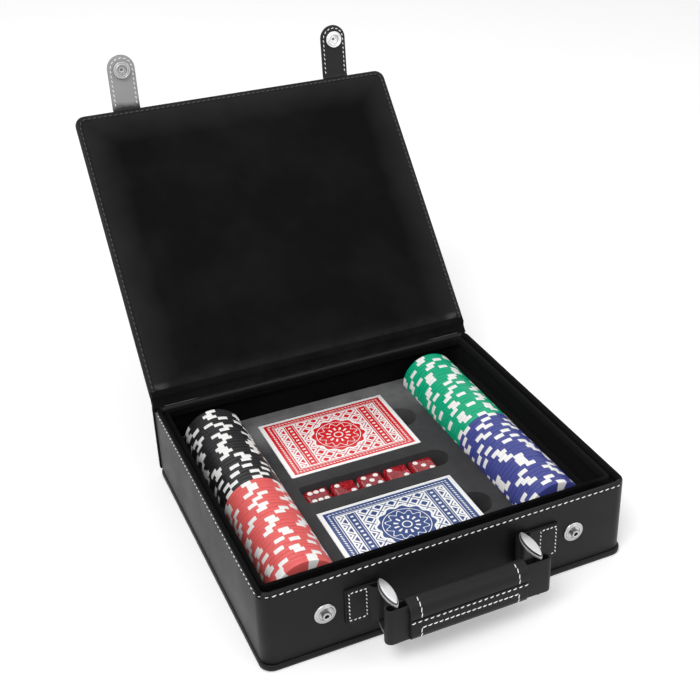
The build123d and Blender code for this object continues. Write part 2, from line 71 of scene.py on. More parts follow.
# %% Choose a piece, or a part of its mesh
def choose(piece):
    """Leaves edit mode and makes this the only selected piece."""
    if bpy.context.object and bpy.context.object.mode != "OBJECT":
        bpy.ops.object.mode_set(mode="OBJECT")
    bpy.ops.object.select_all(action="DESELECT")
    piece.select_set(True)
    bpy.context.view_layer.objects.active = piece


def pick(piece, kind, test):
    """Enters edit mode with only the parts chosen whose middle (and normal) pass the test."""
    choose(piece)
    bpy.ops.object.mode_set(mode="EDIT")
    bpy.ops.mesh.select_mode(type=kind)
    bpy.ops.mesh.select_all(action="DESELECT")
    bpy.ops.object.mode_set(mode="OBJECT")
    mesh = piece.data
    if kind == "FACE":
        for face in mesh.polygons:
            face.select = bool(test(face.center, face.normal))
    elif kind == "EDGE":
        for edge in mesh.edges:
            start, end = (mesh.vertices[i].co for i in edge.vertices)
            edge.select = bool(test((start + end) / 2, (end - start).normalized()))
    else:
        for vertex in mesh.vertices:
            vertex.select = bool(test(vertex.co, vertex.normal))
    bpy.ops.object.mode_set(mode="EDIT")


def pick_all(piece):
    """Enters edit mode with the whole mesh chosen."""
    choose(piece)
    bpy.ops.object.mode_set(mode="EDIT")
    bpy.ops.mesh.select_mode(type="VERT")
    bpy.ops.mesh.select_all(action="SELECT")


# %% [markdown]
# A piece is modelled flat on the bench, at its real size, because it is easy to shape there. These
# helpers apply its modifiers, put it in its place and give it its finish and the body it moves with.

# %% Apply modifiers, place pieces and smooth them
def modify(piece, kind, **settings):
    """Adds one modifier, sets it and applies it."""
    choose(piece)
    made = piece.modifiers.new(kind.title(), kind)
    for setting, value in settings.items():
        setattr(made, setting, value)
    bpy.ops.object.modifier_apply(modifier=made.name)


def named(name, scale=(1, 1, 1)):
    """Names the primitive that was just added, and gives its mesh its place and scale."""
    piece = bpy.context.object
    piece.name = name
    piece.data.name = name
    piece.scale = scale
    bpy.ops.object.transform_apply(location=True, rotation=True, scale=True)
    return piece


def put(piece, place):
    """Moves a piece that was modelled flat on the bench to its place, which ends in its mesh."""
    choose(piece)
    piece.matrix_world = place @ piece.matrix_world
    bpy.ops.object.transform_apply(location=True, rotation=True, scale=True)


def smooth(piece, degrees=40):
    """Shades a piece smooth, with a crease wherever two faces meet at more than this angle."""
    choose(piece)
    bpy.ops.object.shade_smooth_by_angle(angle=math.radians(degrees))


def tidy(piece):
    """Merges doubles and turns every face outwards."""
    pick_all(piece)
    bpy.ops.mesh.remove_doubles(threshold=0.002 * MM)
    bpy.ops.mesh.normals_make_consistent(inside=False)
    choose(piece)


def thicken(piece, thickness, offset=-1):
    """Gives a sheet its thickness: inwards for -1, half to either side for 0."""
    modify(piece, "SOLIDIFY", thickness=thickness, offset=offset, use_even_offset=True)


def soften(piece, width, segments=3, degrees=40):
    """Rounds every edge that is sharper than the angle."""
    modify(
        piece, "BEVEL", width=width, segments=segments, limit_method="ANGLE",
        angle_limit=math.radians(degrees), use_clamp_overlap=True,
    )


def copy_of(piece, name):
    """A copy with a mesh of its own."""
    twin = bpy.data.objects.new(name, piece.data.copy())
    bpy.context.scene.collection.objects.link(twin)
    return twin


def join(pieces, name):
    """Joins several meshes into one piece."""
    choose(pieces[0])
    for piece in pieces:
        piece.select_set(True)
    bpy.ops.object.join()
    return named(name)


def give(piece, *finishes):
    """Adds materials to a piece, in order."""
    for finish in finishes:
        piece.data.materials.append(finish)


def dress(piece, finish, slot, body, *nodes):
    """Gives a piece its finish, the body it moves with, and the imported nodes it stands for."""
    if not piece.data.materials:
        give(piece, finish)
    if body:
        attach(piece, body)
    if nodes:
        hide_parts(*nodes)


# %% [markdown]
# Many pieces of this case are panels or walls with rounded corners. A flat face with rounded
# corners is grown ring by ring: an inset moves inwards, an extrusion goes straight, and a small
# resize lets a ring swell outwards. The list of rings is then simply the piece's section.

# %% Rounded panels grown from rings
def rounded_face(name, low, high, height, radius, segments=8, square=False):
    """A flat face with rounded corners, at one height; square leaves the low-y corners sharp."""
    middle = ((low[0] + high[0]) / 2, (low[1] + high[1]) / 2, height)
    bpy.ops.mesh.primitive_plane_add(size=1, location=middle)
    piece = named(name, (high[0] - low[0], high[1] - low[1], 1))
    pick(piece, "VERT", lambda place, normal: place.y > middle[1] or not square)
    bpy.ops.mesh.bevel(affect="VERTICES", offset=radius, segments=segments)
    choose(piece)
    return piece


def grow(name, low, high, radius, rings, segments=8, square=False):
    """Grows a rounded outline through rings of (inset, height)."""
    inset, height = rings[0]
    piece = rounded_face(
        name, (low[0] + inset, low[1] + inset), (high[0] - inset, high[1] - inset), height,
        radius - inset, segments, square,
    )
    pick_all(piece)
    bpy.ops.mesh.select_mode(type="FACE")
    middle = ((low[0] + high[0]) / 2, (low[1] + high[1]) / 2, 0)
    for next_inset, next_height in rings[1:]:
        inward, rise = next_inset - inset, next_height - height
        if inward > 0.001 * MM:
            bpy.ops.mesh.inset(thickness=inward, depth=rise)
        else:
            bpy.ops.mesh.extrude_region_move(TRANSFORM_OT_translate={"value": (0, 0, rise)})
        if inward < -0.001 * MM:
            width = high[0] - low[0] - 2 * inset
            depth = high[1] - low[1] - 2 * inset
            factors = ((width - 2 * inward) / width, (depth - 2 * inward) / depth, 1)
            bpy.ops.transform.resize(value=factors, center_override=middle)
        inset, height = next_inset, next_height
    choose(piece)
    return piece


def open_middle(piece, above=-1.0, middle_y=0.0):
    """Removes the wide faces that a grown piece starts and ends with, if they lie above a height."""
    pick(
        piece, "FACE",
        lambda place, normal: abs(normal.z) > 0.9 and place.z > above and abs(place.x) < MM
        and abs(place.y - middle_y) < 6 * MM,
    )
    bpy.ops.mesh.delete(type="FACE")
    choose(piece)


def in_mm(pairs, base=0.0):
    """Pairs of lengths in millimetres, the second one counted from a base height."""
    return [(first * MM, base + second * MM) for first, second in pairs]


# %% [markdown]
# Straps, bands and loops are strips: an edge as long as the strip is wide, extruded from point to
# point along a path. Round metal parts are turned: a profile line spun once round an axis.

# %% Strips and turned parts
def chain(name, points):
    """A line of vertices, extruded from point to point."""
    bpy.ops.mesh.primitive_plane_add(size=1)
    piece = named(name)
    pick_all(piece)
    bpy.ops.mesh.merge(type="CENTER")
    choose(piece)
    piece.data.vertices[0].co = points[0]
    pick_all(piece)
    for before, after in zip(points, points[1:]):
        step = Vector(after) - Vector(before)
        bpy.ops.mesh.extrude_region_move(TRANSFORM_OT_translate={"value": step})
    choose(piece)
    return piece


def strip(name, path, span):
    """A strip as wide as the span, along a path; a path that ends where it starts is closed."""
    shift = Vector(span)
    piece = chain(name, [Vector(point) - shift / 2 for point in path])
    pick_all(piece)
    bpy.ops.mesh.extrude_region_move(TRANSFORM_OT_translate={"value": shift})
    tidy(piece)
    return piece


def turned(name, profile, steps=48):
    """A part turned on a lathe: a profile of (radius, height), spun round the upright axis."""
    piece = chain(name, [(radius, 0, height) for radius, height in profile])
    pick_all(piece)
    bpy.ops.mesh.spin(steps=steps, angle=math.tau, center=(0, 0, 0), axis=(0, 0, 1))
    tidy(piece)
    return piece


def arc(middle, radius, start, end, steps):
    """Points of an arc in a plane, with its angles in degrees."""
    points = []
    for k in range(steps + 1):
        angle = math.radians(start + (end - start) * k / steps)
        points.append((middle[0] + radius * math.cos(angle), middle[1] + radius * math.sin(angle)))
    return points


def length_of(points):
    """How long a path is, from point to point."""
    return sum(math.dist(before, after) for before, after in zip(points, points[1:]))


# %% [markdown]
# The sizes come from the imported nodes, so nothing here has to be fitted by hand. The lid and the
# straps are modelled flat and then put in place: a place is made from a hinge and an opening angle.

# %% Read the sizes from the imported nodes
joints = {joint["name"]: joint for joint in frame["joints"]}
tray_low, tray_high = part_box("tray_cover")
base_low, base_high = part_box("base_cover")
lining_low, lining_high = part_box("tray_lining")
spine_low, spine_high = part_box("spine_cover")
rim_z = tray_high.z
base_z = base_high.z
front_y = tray_low.y
middle_z = (base_z + rim_z) / 2
lid_opening = math.radians(-joints["lid_hinge"]["range_deg"][0])
lid_hinge = Vector(joints["lid_hinge"]["pos_m"])


def panel_place(origin, opening):
    """x stays, y runs up along the open panel, z comes out of its inner face."""
    up = Vector((0, -math.cos(opening), math.sin(opening)))
    inward = Vector((0, -math.sin(opening), -math.cos(opening)))
    turn = Matrix((Vector((1, 0, 0)), up, inward)).transposed()
    return Matrix.Translation(origin) @ turn.to_4x4()


def local_box(node, place):
    """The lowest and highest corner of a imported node, seen from a place."""
    back = place.inverted()
    corners = [back @ vertex.co for vertex in frame["nodes"][node].data.vertices]
    low = Vector(min(corner[i] for corner in corners) for i in range(3))
    high = Vector(max(corner[i] for corner in corners) for i in range(3))
    return low, high


lid_place = panel_place(lid_hinge, lid_opening)
lid_low, lid_high = local_box("lid_cover", lid_place)
panel_low, panel_high = local_box("lid_lining", lid_place)
print("rim at", round(rim_z / MM, 2), "mm, lid opened", round(math.degrees(lid_opening)), "degrees")

# %% [markdown]
# Materials are built from nodes on Object coordinates, at the scale of the real surface. A small
# helper adds a node and fills its sockets with plain numbers or with the outputs of other nodes. The
# output of a node is wrapped as a Value, so that a sum of nodes can be written like any other sum.

# %% Node helpers
class Value:
    """The output of a node, which can be reckoned with like a number."""

    def __init__(self, owner, socket):
        self.owner, self.socket = owner, socket

    def __add__(self, other):
        return calc(self.owner, "ADD", self, other)

    def __sub__(self, other):
        return calc(self.owner, "SUBTRACT", self, other)

    def __rsub__(self, other):
        return calc(self.owner, "SUBTRACT", other, self)

    def __mul__(self, other):
        return calc(self.owner, "MULTIPLY", self, other)

    def __abs__(self):
        return calc(self.owner, "ABSOLUTE", self)

    def to(self, low, high, new_low=0.0, new_high=1.0):
        """Stretches the range from low to high to another one, and stops at its ends."""
        inputs = {"Value": self, "From Min": low, "From Max": high, "To Min": new_low, "To Max": new_high}
        return Value(self.owner, add_node(self.owner, "ShaderNodeMapRange", inputs).outputs["Result"])


def add_node(owner, kind, inputs=None, **settings):
    """Adds a node to a material or a world, sets its options and fills its sockets."""
    node = owner.node_tree.nodes.new(kind)
    for setting, value in settings.items():
        setattr(node, setting, value)
    for socket, value in (inputs or {}).items():
        lead(owner, value, node.inputs[socket])
    return node


def lead(owner, source, socket):
    """Leads a value or an output to a socket, or sets the socket to a plain number."""
    source = source.socket if isinstance(source, Value) else source
    if isinstance(source, bpy.types.NodeSocket):
        owner.node_tree.links.new(source, socket)
    else:
        socket.default_value = source


def calc(owner, operation, first, second=0.0):
    """One step of arithmetic on numbers or values."""
    node = add_node(owner, "ShaderNodeMath", {0: first, 1: second}, operation=operation)
    return Value(owner, node.outputs[0])


def least(first, *others):
    """The smallest of several values."""
    for other in others:
        first = calc(first.owner, "MINIMUM", first, other)
    return first


def most(first, *others):
    """The largest of several values."""
    for other in others:
        first = calc(first.owner, "MAXIMUM", first, other)
    return first


# %% [markdown]
# A pattern starts from a point on the surface. On a piece that bends or opens, that point is read
# from the piece's own map instead. Soft noise breaks up what would otherwise look too even.

# %% Points, axes and noise
def object_point(material):
    """The point on the surface, in the object's own coordinates."""
    return add_node(material, "ShaderNodeTexCoord").outputs["Object"]


def axes(material, point=None):
    """The x, y and z of a point, or else of the point on the surface."""
    node = add_node(material, "ShaderNodeSeparateXYZ", {"Vector": point or object_point(material)})
    return [Value(material, output) for output in node.outputs]


def map_axes(material, name):
    """The x, y and z of a piece's own map, which stays on it as it bends or opens."""
    return axes(material, add_node(material, "ShaderNodeUVMap", uv_map=name).outputs["UV"])


def noise(material, scale, detail=3.0, rough=0.55, point=None):
    """Soft noise from 0 to 1."""
    inputs = {"Vector": point or object_point(material), "Scale": scale, "Detail": detail}
    inputs["Roughness"] = rough
    return Value(material, add_node(material, "ShaderNodeTexNoise", inputs).outputs["Fac"])


# %% [markdown]
# A finish is a shader with a few fixed numbers and a few that nodes feed. These helpers make one,
# give it a colour that varies, lay worn places over that, and raise the surface with a bump.

# %% Finish helpers
def new_material(name, constants):
    """A material with the numbers that are the same all over it set on its shader."""
    material = bpy.data.materials.new(name)
    material.use_nodes = True
    for socket, value in constants.items():
        feed(material, socket, value)
    return material


def feed(material, socket, value):
    """Leads a value or a number to the material's shader."""
    lead(material, value, material.node_tree.nodes["Principled BSDF"].inputs[socket])


def blend_colours(material, factor, first, second, clamp=True):
    """One colour turning into another."""
    inputs = {0: factor, 6: first, 7: second}
    return add_node(material, "ShaderNodeMix", inputs, data_type="RGBA", clamp_factor=clamp).outputs[2]


def paint(material, factor, first, second, clamp=True):
    """The colour of a finish, as one colour turning into another."""
    feed(material, "Base Color", blend_colours(material, factor, first, second, clamp))


def tint(material, factor, colour):
    """Lays a colour over the one that the finish has, as far as the factor says."""
    socket = material.node_tree.nodes["Principled BSDF"].inputs["Base Color"]
    paint(material, factor, socket.links[0].from_socket, colour)


def bump(material, height, distance, strength=1.0):
    """Raises the surface by a height from 0 to 1."""
    inputs = {"Height": height, "Distance": distance, "Strength": strength}
    feed(material, "Normal", add_node(material, "ShaderNodeBump", inputs).outputs[0])


def grey(level, blue=None):
    """A grey, which may have a little more blue in it."""
    return (level, level, blue or level, 1.0)


def darker(colour, share):
    """A colour with only a share of its light."""
    return tuple(share * value for value in colour[:3]) + (1.0,)


# %% [markdown]
# The leather is a black plastic-coated cloth pressed with a fine grain. It is dark and satin, so
# it is its reflection that shows: at a steep angle it mirrors the pale surroundings. A cell
# texture gives the grain its creases, and slow noise varies the gloss where hands have rubbed it.

# %% Imitation leather
def make_leather(name, colour, grain, roughness, specular=0.19):
    """Leather with a pressed grain of this size."""
    material = new_material(name, {"Specular IOR Level": specular})
    cells = add_node(
        material, "ShaderNodeTexVoronoi", {"Vector": object_point(material), "Scale": 1 / grain},
        feature="DISTANCE_TO_EDGE",
    )
    pebble = Value(material, cells.outputs["Distance"]).to(0.0, 0.22)
    pores = noise(material, 4500.0, 2.0)
    rubbing = noise(material, 26.0, 4.0)
    paint(material, rubbing, darker(colour, 0.72), colour)
    feed(material, "Roughness", rubbing.to(0.3, 0.7, roughness - 0.05, roughness + 0.07))
    bump(material, pores * 0.35 + pebble, 0.05 * MM, 0.55)
    return material


CASE_GRAIN = 0.75 * MM
STRAP_GRAIN = 0.6 * MM
STRAP_BLACK = grey(0.021, 0.022)
leather = make_leather("case_leather", grey(0.0058, 0.006), CASE_GRAIN, 0.44)
dull_leather = make_leather("dull_leather", grey(0.0062, 0.0064), CASE_GRAIN, 0.6, 0.03)
strap_leather = make_leather("strap_leather", grey(0.0105, 0.011), STRAP_GRAIN, 0.5)
closing_leather = make_leather("closing_leather", STRAP_BLACK, STRAP_GRAIN, 0.5)
# The inner face of the left strap is painted pale as a reflection of the light, except where it bends at the
# lid
rubbed_leather = make_leather("rubbed_leather", grey(0.36), STRAP_GRAIN, 0.5)
x, y, z = map_axes(rubbed_leather, "strap")
from_bend = y + noise(rubbed_leather, 120.0) * (5 * MM)
tint(rubbed_leather, from_bend.to(3.5 * MM, 8 * MM, 1.0, 0.0), STRAP_BLACK)

# %% [markdown]
# The linings and the foam are flocked: covered with very short upright fibres. Flock has no
# gloss, only a faint bloom at grazing angles, which is what the sheen of the shader is for. It
# shows brushed patches where the fibres lie one way or another.

# %% Flock for the linings and the foam
FLOCK = {"Roughness": 0.95, "Specular IOR Level": 0.05, "Sheen Roughness": 0.45}
FIBRE = 0.35 * MM


def make_flock(name, dark, light, sheen, patch):
    """Flock that lies darker or lighter in patches of this size."""
    material = new_material(name, {**FLOCK, "Sheen Weight": sheen})
    patches = noise(material, 1 / patch, 4.0, 0.6)
    fibres = noise(material, 1 / FIBRE, 2.0, 0.7)
    paint(material, patches.to(0.35, 0.72) * 0.75 + fibres * 0.25, dark, light)
    bump(material, fibres, 0.12 * MM, 0.6)
    return material


lining_flock = make_flock("lining_flock", grey(0.0014, 0.0015), grey(0.0042, 0.0044), 0.008, 40 * MM)
hinge_flock = make_flock("hinge_flock", grey(0.0035, 0.0036), grey(0.0075, 0.0077), 0.012, 12 * MM)
# The pale flock of the cloth's fold is a painted highlight along the back rim
edge_flock = make_flock("edge_flock", grey(0.004), grey(0.022), 0.02, 9 * MM)
foam_flock = make_flock("foam_flock", grey(0.036, 0.038), grey(0.058, 0.06), 0.1, 22 * MM)
# The right inner wall faces the lamps and is painted a little paler there, a painted sheen on its flock
x, y, z = axes(lining_flock)
tint(lining_flock, x.to(98 * MM, 107 * MM), grey(0.0085, 0.0087))
# The fold of the hinge cloth is painted paler than the cloth as a highlight along the rim, palest at its two
# ends
x, y, z = axes(edge_flock)
tint(edge_flock, abs(x).to(84 * MM, 90 * MM), grey(0.075))
# At the hinge end the foam's flock is painted pale in uneven patches as a painted sheen, and beside the walls
# painted shade makes it black
x, y, z = axes(foam_flock)
uneven = noise(foam_flock, 35.0, 4.0).to(0.32, 0.6, 0.3, 1.0)
tint(foam_flock, y.to(50 * MM, 76 * MM) * uneven, grey(0.155, 0.158))
tint(foam_flock, abs(x).to(98.5 * MM, 99.5 * MM), grey(0.006, 0.0062))

# %% [markdown]
# The lid's lining is the same flock, but its border is painted greyer as a painted sheen where the padded
# edge catches the light. That border follows the panel and not the room, so the panel gets a UV map in metres
# when it is modelled, and this material reads the distance to its edge from it.

# %% Flock of the lid panel, with painted sheen along its border
panel_half_x, panel_half_y = (panel_high.x - panel_low.x) / 2, (panel_high.y - panel_low.y) / 2
lid_flock = new_material("lid_flock", {**FLOCK, "Sheen Weight": 0.02})
x, y, z = map_axes(lid_flock, "panel")
from_side = panel_half_x - abs(x)
from_hinge = y + panel_half_y
to_edge = least(from_side, panel_half_y - y, from_hinge + 11 * MM) + noise(lid_flock, 60.0) * (8 * MM)
# Painted sheen: the panel is painted greyer towards its border
border_sheen = to_edge.to(4 * MM, 26 * MM, 1.0, 0.0)
patches = noise(lid_flock, 22.0, 4.0).to(0.4, 0.75, 0.0, 0.35)
fibres = noise(lid_flock, 1 / FIBRE, 2.0, 0.7)
# The strip beside the hinge is brushed, and its two corners get a painted highlight
uneven = noise(lid_flock, 55.0, 4.0, 0.65).to(0.35, 0.65)
brushed = from_hinge.to(3 * MM, 5.5 * MM, 0.45, 0.0) * uneven
corners = from_side.to(6 * MM, 11 * MM, 1.0, 0.0) * from_hinge.to(3 * MM, 5 * MM, 1.0, 0.0)
tone = border_sheen * 0.95 + patches + fibres * 0.2 + brushed + corners * 2.2
# The tone may pass 1, so that the painted highlight at the corners comes out paler than the light grey
paint(lid_flock, tone, grey(0.0032, 0.0033), grey(0.0165, 0.017), clamp=False)
bump(lid_flock, fibres, 0.12 * MM, 0.6)

# %% [markdown]
# Thread, board and metal. The thread is thick, white and waxed; the lid border has a dim grey one.
# The board is only seen where a cover ends. The snaps and rings are nickel plated: the snaps are
# polished, and the plates of the rings have fine marks from brushing along their length.

# %% Thread, board and nickel
def make_thread(name, colour):
    """Thread with slanting strands."""
    material = new_material(name, {"Roughness": 0.6, "Specular IOR Level": 0.35})
    wave = add_node(
        material, "ShaderNodeTexWave",
        {"Vector": object_point(material), "Scale": 900.0, "Distortion": 1.5}, bands_direction="DIAGONAL",
    )
    strands = Value(material, wave.outputs["Fac"])
    paint(material, strands, darker(colour, 0.86), colour)
    bump(material, strands, 0.05 * MM, 0.5)
    return material


def make_nickel(name, roughness, colour, metallic=1.0, stretch=(1, 1, 1)):
    """Nickel plate with fine marks, which a stretch draws out along one axis."""
    material = new_material(name, {"Base Color": colour, "Metallic": metallic})
    mapping = add_node(material, "ShaderNodeMapping", {"Vector": object_point(material), "Scale": stretch})
    marks = noise(material, 60.0, 4.0, 0.6, mapping.outputs["Vector"])
    feed(material, "Roughness", marks.to(0.3, 0.7, roughness - 0.04, roughness + 0.06))
    bump(material, marks, 0.01 * MM, 0.4)
    return material


white_thread = make_thread("white_thread", (0.96, 0.96, 0.95, 1.0))
grey_thread = make_thread("grey_thread", grey(0.075))
snap_nickel = make_nickel("snap_nickel", 0.16, grey(0.74, 0.75))
# Dark nickel is painted shade in the grooves and hollows of the snaps and ring plates; the ring bars use it
# too
dull_nickel = make_nickel("dull_nickel", 0.35, grey(0.17, 0.175))
ring_nickel = make_nickel("ring_nickel", 0.3, grey(0.68, 0.69), 0.65, (40, 2, 40))
stud_nickel = make_nickel("stud_nickel", 0.3, grey(0.54))
socket_nickel = make_nickel("socket_nickel", 0.42, grey(0.84))
worn_nickel = make_nickel("worn_nickel", 0.5, grey(0.5))

fibreboard = new_material("fibreboard", {"Roughness": 0.85, "Specular IOR Level": 0.2})
flakes = noise(fibreboard, 900.0, 4.0, 0.7)
paint(fibreboard, flakes, (0.20, 0.14, 0.09, 1), (0.38, 0.29, 0.20, 1))
bump(fibreboard, flakes, 0.08 * MM, 0.5)

# %% [markdown]
# Chips are moulded plastic, satin, with white spots moulded through the edge. The spots are faces
# of the mesh, so each plastic is a plain material with a little mottling.

# %% Moulded plastics of the chips
def make_plastic(name, colour, roughness=0.38):
    """Satin plastic with a little mottling."""
    material = new_material(name, {"Specular IOR Level": 0.35})
    mottle = noise(material, 220.0)
    paint(material, mottle, darker(colour, 0.9), colour)
    feed(material, "Roughness", mottle.to(0.3, 0.7, roughness - 0.05, roughness + 0.08))
    bump(material, noise(material, 2400.0, 2.0), 0.02 * MM, 0.35)
    return material


chip_colours = {
    "black": grey(0.016, 0.0175),
    "red": (0.78, 0.125, 0.12, 1.0),
    "green": (0.0, 0.41, 0.21, 1.0),
    "blue": (0.053, 0.066, 0.285, 1.0),
}
chip_plastics = {name: make_plastic("chip_" + name, colour) for name, colour in chip_colours.items()}
spot_plastic = make_plastic("chip_spot_white", grey(0.93, 0.91))
inlay_plastic = make_plastic("chip_inlay", grey(0.70, 0.68), 0.3)
core_rubber = make_plastic("core_rubber", grey(0.012), 0.7)

# %% [markdown]
# Dice are clear red acrylic with white painted pips. The shader's transmission lets light
# through, and its colour tints it on the way.

# %% Clear red dice and their pips
clear_red = new_material(
    "clear_red_acrylic", {"Transmission Weight": 0.76, "IOR": 1.49, "Specular IOR Level": 0.5}
)
swirl = noise(clear_red, 120.0)
paint(clear_red, swirl, (0.80, 0.03, 0.045, 1), (0.93, 0.06, 0.085, 1))
feed(clear_red, "Roughness", swirl.to(0.3, 0.7, 0.05, 0.1))
pip_white = make_plastic("pip_white", (0.86, 0.85, 0.83, 1.0), 0.45)

# %% [markdown]
# The card boxes carry a printed back: a white border, a coloured frame with a row of dots and a
# light line, a lattice of diamonds, two solid bars and a round rosette in the middle. All of it
# is drawn by arithmetic on the distance to the box's edges and middle, so that it stays sharp.

# %% Bands and folds of a pattern
def band(value, low, high, soft=0.06):
    """1 where a length lies between two others in mm, with soft edges, and 0 elsewhere."""
    rise = value.to((low - soft) * MM, (low + soft) * MM)
    return rise * value.to((high - soft) * MM, (high + soft) * MM, 1.0, 0.0)


def fold(value, size):
    """A length folded to and fro over a size in mm, which repeats a pattern."""
    return calc(value.owner, "PINGPONG", value, size * MM)


# %% Print of the back and the sides
def make_card_box(name, ink, ink_light):
    """The print of one card box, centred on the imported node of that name."""
    low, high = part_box(name)
    half = (high - low) / 2
    material = new_material(
        name, {"Roughness": 0.32, "Specular IOR Level": 0.45, "Coat Weight": 0.15, "Coat Roughness": 0.2}
    )
    centred = add_node(
        material, "ShaderNodeMapping", {"Vector": object_point(material), "Location": -(low + high) / 2}
    )
    x, y, z = axes(material, centred.outputs["Vector"])
    # The frame is wider at the short ends, so distances from the ends are shrunk to match
    edge = least((half.x - abs(x)) * 0.8, half.y - abs(y))
    light_line = band(edge, 6.2, 6.55, 0.05)
    dots = band(edge, 3.9, 4.9, 0.1) * fold(x + y, 1.15).to(0.5 * MM, 0.65 * MM)
    border = band(edge, 2.3, 7.2) * (1.0 - most(light_line, dots))
    # Inside it a lattice of diamonds, with a small solid diamond in each
    field = edge.to(8.1 * MM, 8.2 * MM)
    rising, falling = fold(x + y, 4.5), fold(x - y, 4.5)
    lines = most(*[slant.to(0.4 * MM, 0.5 * MM, 1.0, 0.0) for slant in (rising, falling)])
    seeds = rising.to(2.1 * MM, 2.2 * MM) * falling.to(2.1 * MM, 2.2 * MM)
    diamonds = field * most(lines, seeds)
    # The rosette: a disc with a wavy edge, and light rings and petals by the angle inside it
    distance = calc(material, "SQRT", x * x + y * y)
    petals = calc(material, "COSINE", calc(material, "ARCTAN2", y, x) * 12.0)
    wave = distance + petals * (0.9 * MM)
    halo = wave.to(18.6 * MM, 18.7 * MM, 1.0, 0.0)
    light_rings = most(
        band(distance - petals * (1.5 * MM), 11.4, 12.1), band(distance, 14.4, 14.9),
        band(distance, 2.4, 3.2), band(distance, 5.2, 8.2) * petals.to(0.35, 0.5),
    )
    rosette = wave.to(17.0 * MM, 17.1 * MM, 1.0, 0.0) * (1.0 - light_rings)
    # Solid bars across, either side of the rosette
    reach = abs(x)
    bar_light = most(
        band(reach, 24.0, 24.35, 0.05), band(reach, 29.05, 29.4, 0.05),
        band(reach, 25.8, 27.6, 0.1) * fold(y, 1.9).to(1.0 * MM, 1.15 * MM),
    )
    bars = field * band(reach, 23.2, 30.2) * (1.0 - bar_light)
    clear_of = 1.0 - most(halo, band(reach, 22.2, 31.2))
    back_print = most(border, diamonds * clear_of, bars, rosette)
    # The back is printed on the top face, and the sides have a plain band of ink
    top = z.to(half.z - 0.3 * MM, half.z - 0.2 * MM)
    printed = most(back_print * top, (1.0 - top) * band(z, -5.4, 4.6))
    shade = noise(material, 90.0)
    paper = blend_colours(material, shade, grey(0.86, 0.85), grey(0.92, 0.91))
    paint(material, printed, paper, blend_colours(material, shade, ink, ink_light))
    bump(material, noise(material, 1500.0), 0.01 * MM, 0.3)
    return material


card_prints = {
    "red": make_card_box("card_box_red", (0.62, 0.007, 0.012, 1), (0.72, 0.013, 0.02, 1)),
    "blue": make_card_box("card_box_blue", (0.011, 0.042, 0.18, 1), (0.016, 0.054, 0.22, 1)),
}
card_stock = make_plastic("card_stock", (0.80, 0.79, 0.75, 1.0), 0.5)
print("materials:", len(bpy.data.materials))

# %% [markdown]
# Stitching is what the eye follows on this case. Each stitch is a small pad of thread whose ends
# dip into the leather. One is modelled, repeated with an Array and bent along the seam with a
# Curve modifier. On a wall the pad is first turned so that it lies against the wall.

# %% Model one stitch
STITCH_LENGTH = 3.1 * MM
STITCH_WIDTH = 0.72 * MM
STITCH_HEIGHT = 0.66 * MM
STITCH_PITCH = 4.05 * MM
STITCH_LIFT, STITCH_DIP, STITCH_SLANT = 0.1 * MM, 0.36 * MM, 0.26 * MM

bpy.ops.mesh.primitive_uv_sphere_add(segments=6, ring_count=5, radius=1, rotation=(0, math.pi / 2, 0))
one_stitch = named("one_stitch", (STITCH_HEIGHT / 2, STITCH_WIDTH / 2, STITCH_LENGTH / 2))
for vertex in one_stitch.data.vertices:
    share = 2 * vertex.co.x / STITCH_LENGTH
    vertex.co.z += STITCH_LIFT - STITCH_DIP * share * share
    vertex.co.y += STITCH_SLANT * share
bpy.ops.object.shade_smooth()

# %% Sew a row of stitches along a path
def sew(
    name, path, thread=white_thread, closed=False, on_wall=False, place=None, pitch=STITCH_PITCH,
    gap=0.9 * MM,
):
    """Lays stitches along the points of a path in one plane, evenly from end to end."""
    points = [Vector(point).to_3d() for point in path]
    length = length_of(points + points[:1] if closed else points)
    count = max(1, round(length / pitch))
    step = length / count
    line = bpy.data.curves.new(name + "_line", "CURVE")
    line.dimensions = "3D"
    line.twist_mode = "Z_UP"
    spline = line.splines.new("POLY")
    spline.points.add(len(points) - 1)
    for knot, point in zip(spline.points, points):
        knot.co = (*point, 1)
    spline.use_cyclic_u = closed
    guide = bpy.data.objects.new(name + "_line", line)
    bpy.context.scene.collection.objects.link(guide)
    row = copy_of(one_stitch, name)
    put(row, Matrix.Scale((step - gap) / STITCH_LENGTH, 4, (1, 0, 0)))
    if on_wall:
        put(row, Matrix.Rotation(math.pi / 2, 4, "X"))
    put(row, Matrix.Translation((step / 2, 0, 0)))
    modify(
        row, "ARRAY", count=count, use_relative_offset=False, use_constant_offset=True,
        constant_offset_displace=(step, 0, 0),
    )
    modify(row, "CURVE", object=guide, deform_axis="POS_X")
    bpy.data.objects.remove(guide)
    if place is not None:
        put(row, place)
    give(row, thread)
    return row


def rounded_path(low, high, radius, height=0.0, steps=6):
    """The points of a closed rounded rectangle, anticlockwise."""
    corners = [
        ((high[0] - radius, low[1] + radius), -90), ((high[0] - radius, high[1] - radius), 0),
        ((low[0] + radius, high[1] - radius), 90), ((low[0] + radius, low[1] + radius), 180),
    ]
    points = []
    for middle, start in corners:
        points += [(*point, height) for point in arc(middle, radius, start, start + 90, steps)]
    return points


# %% [markdown]
# The tray is covered with one sheet of leather that goes up the walls, round the rim and a little
# way down inside. A row of stitches just below the rim pulls the leather in, so the rim stands
# out as a soft roll. The section below has that pull, and Solidify gives the leather its thickness.

# %% Leather over the tray's walls and rim
TRAY_CORNER = 8.2 * MM
LEATHER = 0.65 * MM
